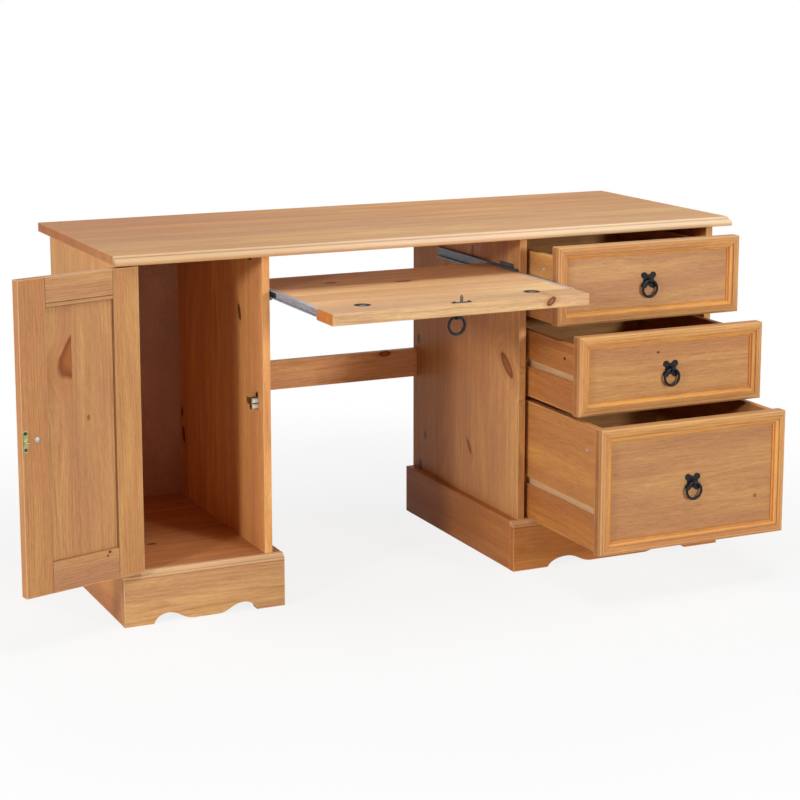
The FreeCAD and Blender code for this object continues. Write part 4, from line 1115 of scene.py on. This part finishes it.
bpy.ops.mesh.primitive_plane_add(size=60.0, location=(0, 0, 0))
floor = bpy.context.object
floor.name = "studio_floor"
floor_finish, tree, _ = new_finish("studio_floor")
tree.nodes.remove(tree.nodes["Principled BSDF"])
away = shift(tree, "LENGTH", tree.nodes.new("ShaderNodeTexCoord").outputs["Object"], out=1)
lift = calc(tree, "MULTIPLY", fade(tree, away, NEAR, FAR, LIFT_NEAR, LIFT_FAR), white_seen(tree))
matt = step(tree, "BsdfDiffuse", FLOOR_PALE)
glow = step(tree, "Emission", WHITE, 1.0)
feed(tree, tree.nodes["Material Output"].inputs["Surface"], step(tree, "MixShader", lift, matt, glow))
floor.data.materials.append(floor_finish)
print("floor lifted to", LIFT_NEAR, "near the desk and to", LIFT_FAR, "from", FAR, "m on")

# %% [markdown]
# The room round the desk is white for the eye, but gives hardly any light of its own. The lamps do that,
# because light from everywhere would take away every shadow.

# %% White surround
ROOM_LIGHT = 0.03
world = bpy.data.worlds.new("studio_world")
bpy.context.scene.world = world
world.use_nodes = True
tree = world.node_tree
tree.nodes.clear()
room = step(tree, "Background", WHITE, ROOM_LIGHT)
page = step(tree, "Background", WHITE, 1.0)
shown = step(tree, "MixShader", white_seen(tree), room, page)
feed(tree, tree.nodes.new("ShaderNodeOutputWorld").inputs["Surface"], shown)
print("surround gives", ROOM_LIGHT, "of white light")

# %% [markdown]
# ## Lamps
# Shadows tell where the lights of a studio stand. The top's nose shades the back of the tray, so one small
# box hangs high in front. A slanting edge of light on the cupboard floor asks for a box low at the right
# front, and the lit strip on the cupboard's inner side for one at the left front. Wide weak boxes above, at
# both sides and behind fill the rest, so that the desk also reads well from its back.

# %% Soft boxes
LAMP_AIM = Vector((0.1, 0.0, 0.5))
SOFT_BOXES = {
    "overhead_box": ((0.0, -0.3, 4.2), (2.0, 1.6), 36.0),
    "high_front_box": ((0.3, -1.4, 4.2), (0.8, 0.8), 34.0),
    "right_front_box": ((1.773, -4.596, 1.540), (0.6, 0.6), 108.0),
    "left_front_box": ((-3.738, -2.044, 1.665), (0.45, 0.45), 62.0),
    "left_side_box": ((-4.115, -0.743, 1.891), (0.8, 0.8), 38.0),
    "right_side_box": ((4.406, -0.377, 2.073), (1.6, 1.4), 25.0),
    "high_back_box": ((0.2, 3.6, 4.6), (2.2, 1.2), 40.0),
}
for name, (place, size, power) in SOFT_BOXES.items():
    lamp = bpy.data.lights.new(name, "AREA")
    lamp.shape = "RECTANGLE"
    lamp.size, lamp.size_y = size
    lamp.energy = power
    holder = bpy.data.objects.new(name, lamp)
    bpy.context.scene.collection.objects.link(holder)
    holder.location = place
    holder.rotation_euler = (LAMP_AIM - Vector(place)).to_track_quat("-Z", "Y").to_euler()
print(len(SOFT_BOXES), "soft boxes, together", sum(power for _, _, power in SOFT_BOXES.values()), "W")

# %% [markdown]
# ## Camera
# The photograph was taken from the left front, a little above the top of the desk, with a long lens. The
# frame is moved down a little, so that the camera looks down less steeply and the uprights lean less. The
# numbers come from matching corners of the desk.

# %% Camera
LOOK_DOWN, LOOK_RIGHT = 0.17192, 0.43816
lens = bpy.data.cameras.new("desk_camera")
lens.sensor_width = 36.0
lens.lens = 90.699
lens.shift_y = -0.12
lens.clip_end = 200.0
camera = bpy.data.objects.new("desk_camera", lens)
bpy.context.scene.collection.objects.link(camera)
camera.location = (-1.8335, -4.0660, 1.4033)
camera.rotation_euler = (math.pi / 2 - LOOK_DOWN, 0.0, -LOOK_RIGHT)
bpy.context.scene.camera = camera
bpy.context.scene.view_settings.view_transform = "Standard"
print("camera at", tuple(round(v, 3) for v in camera.location))
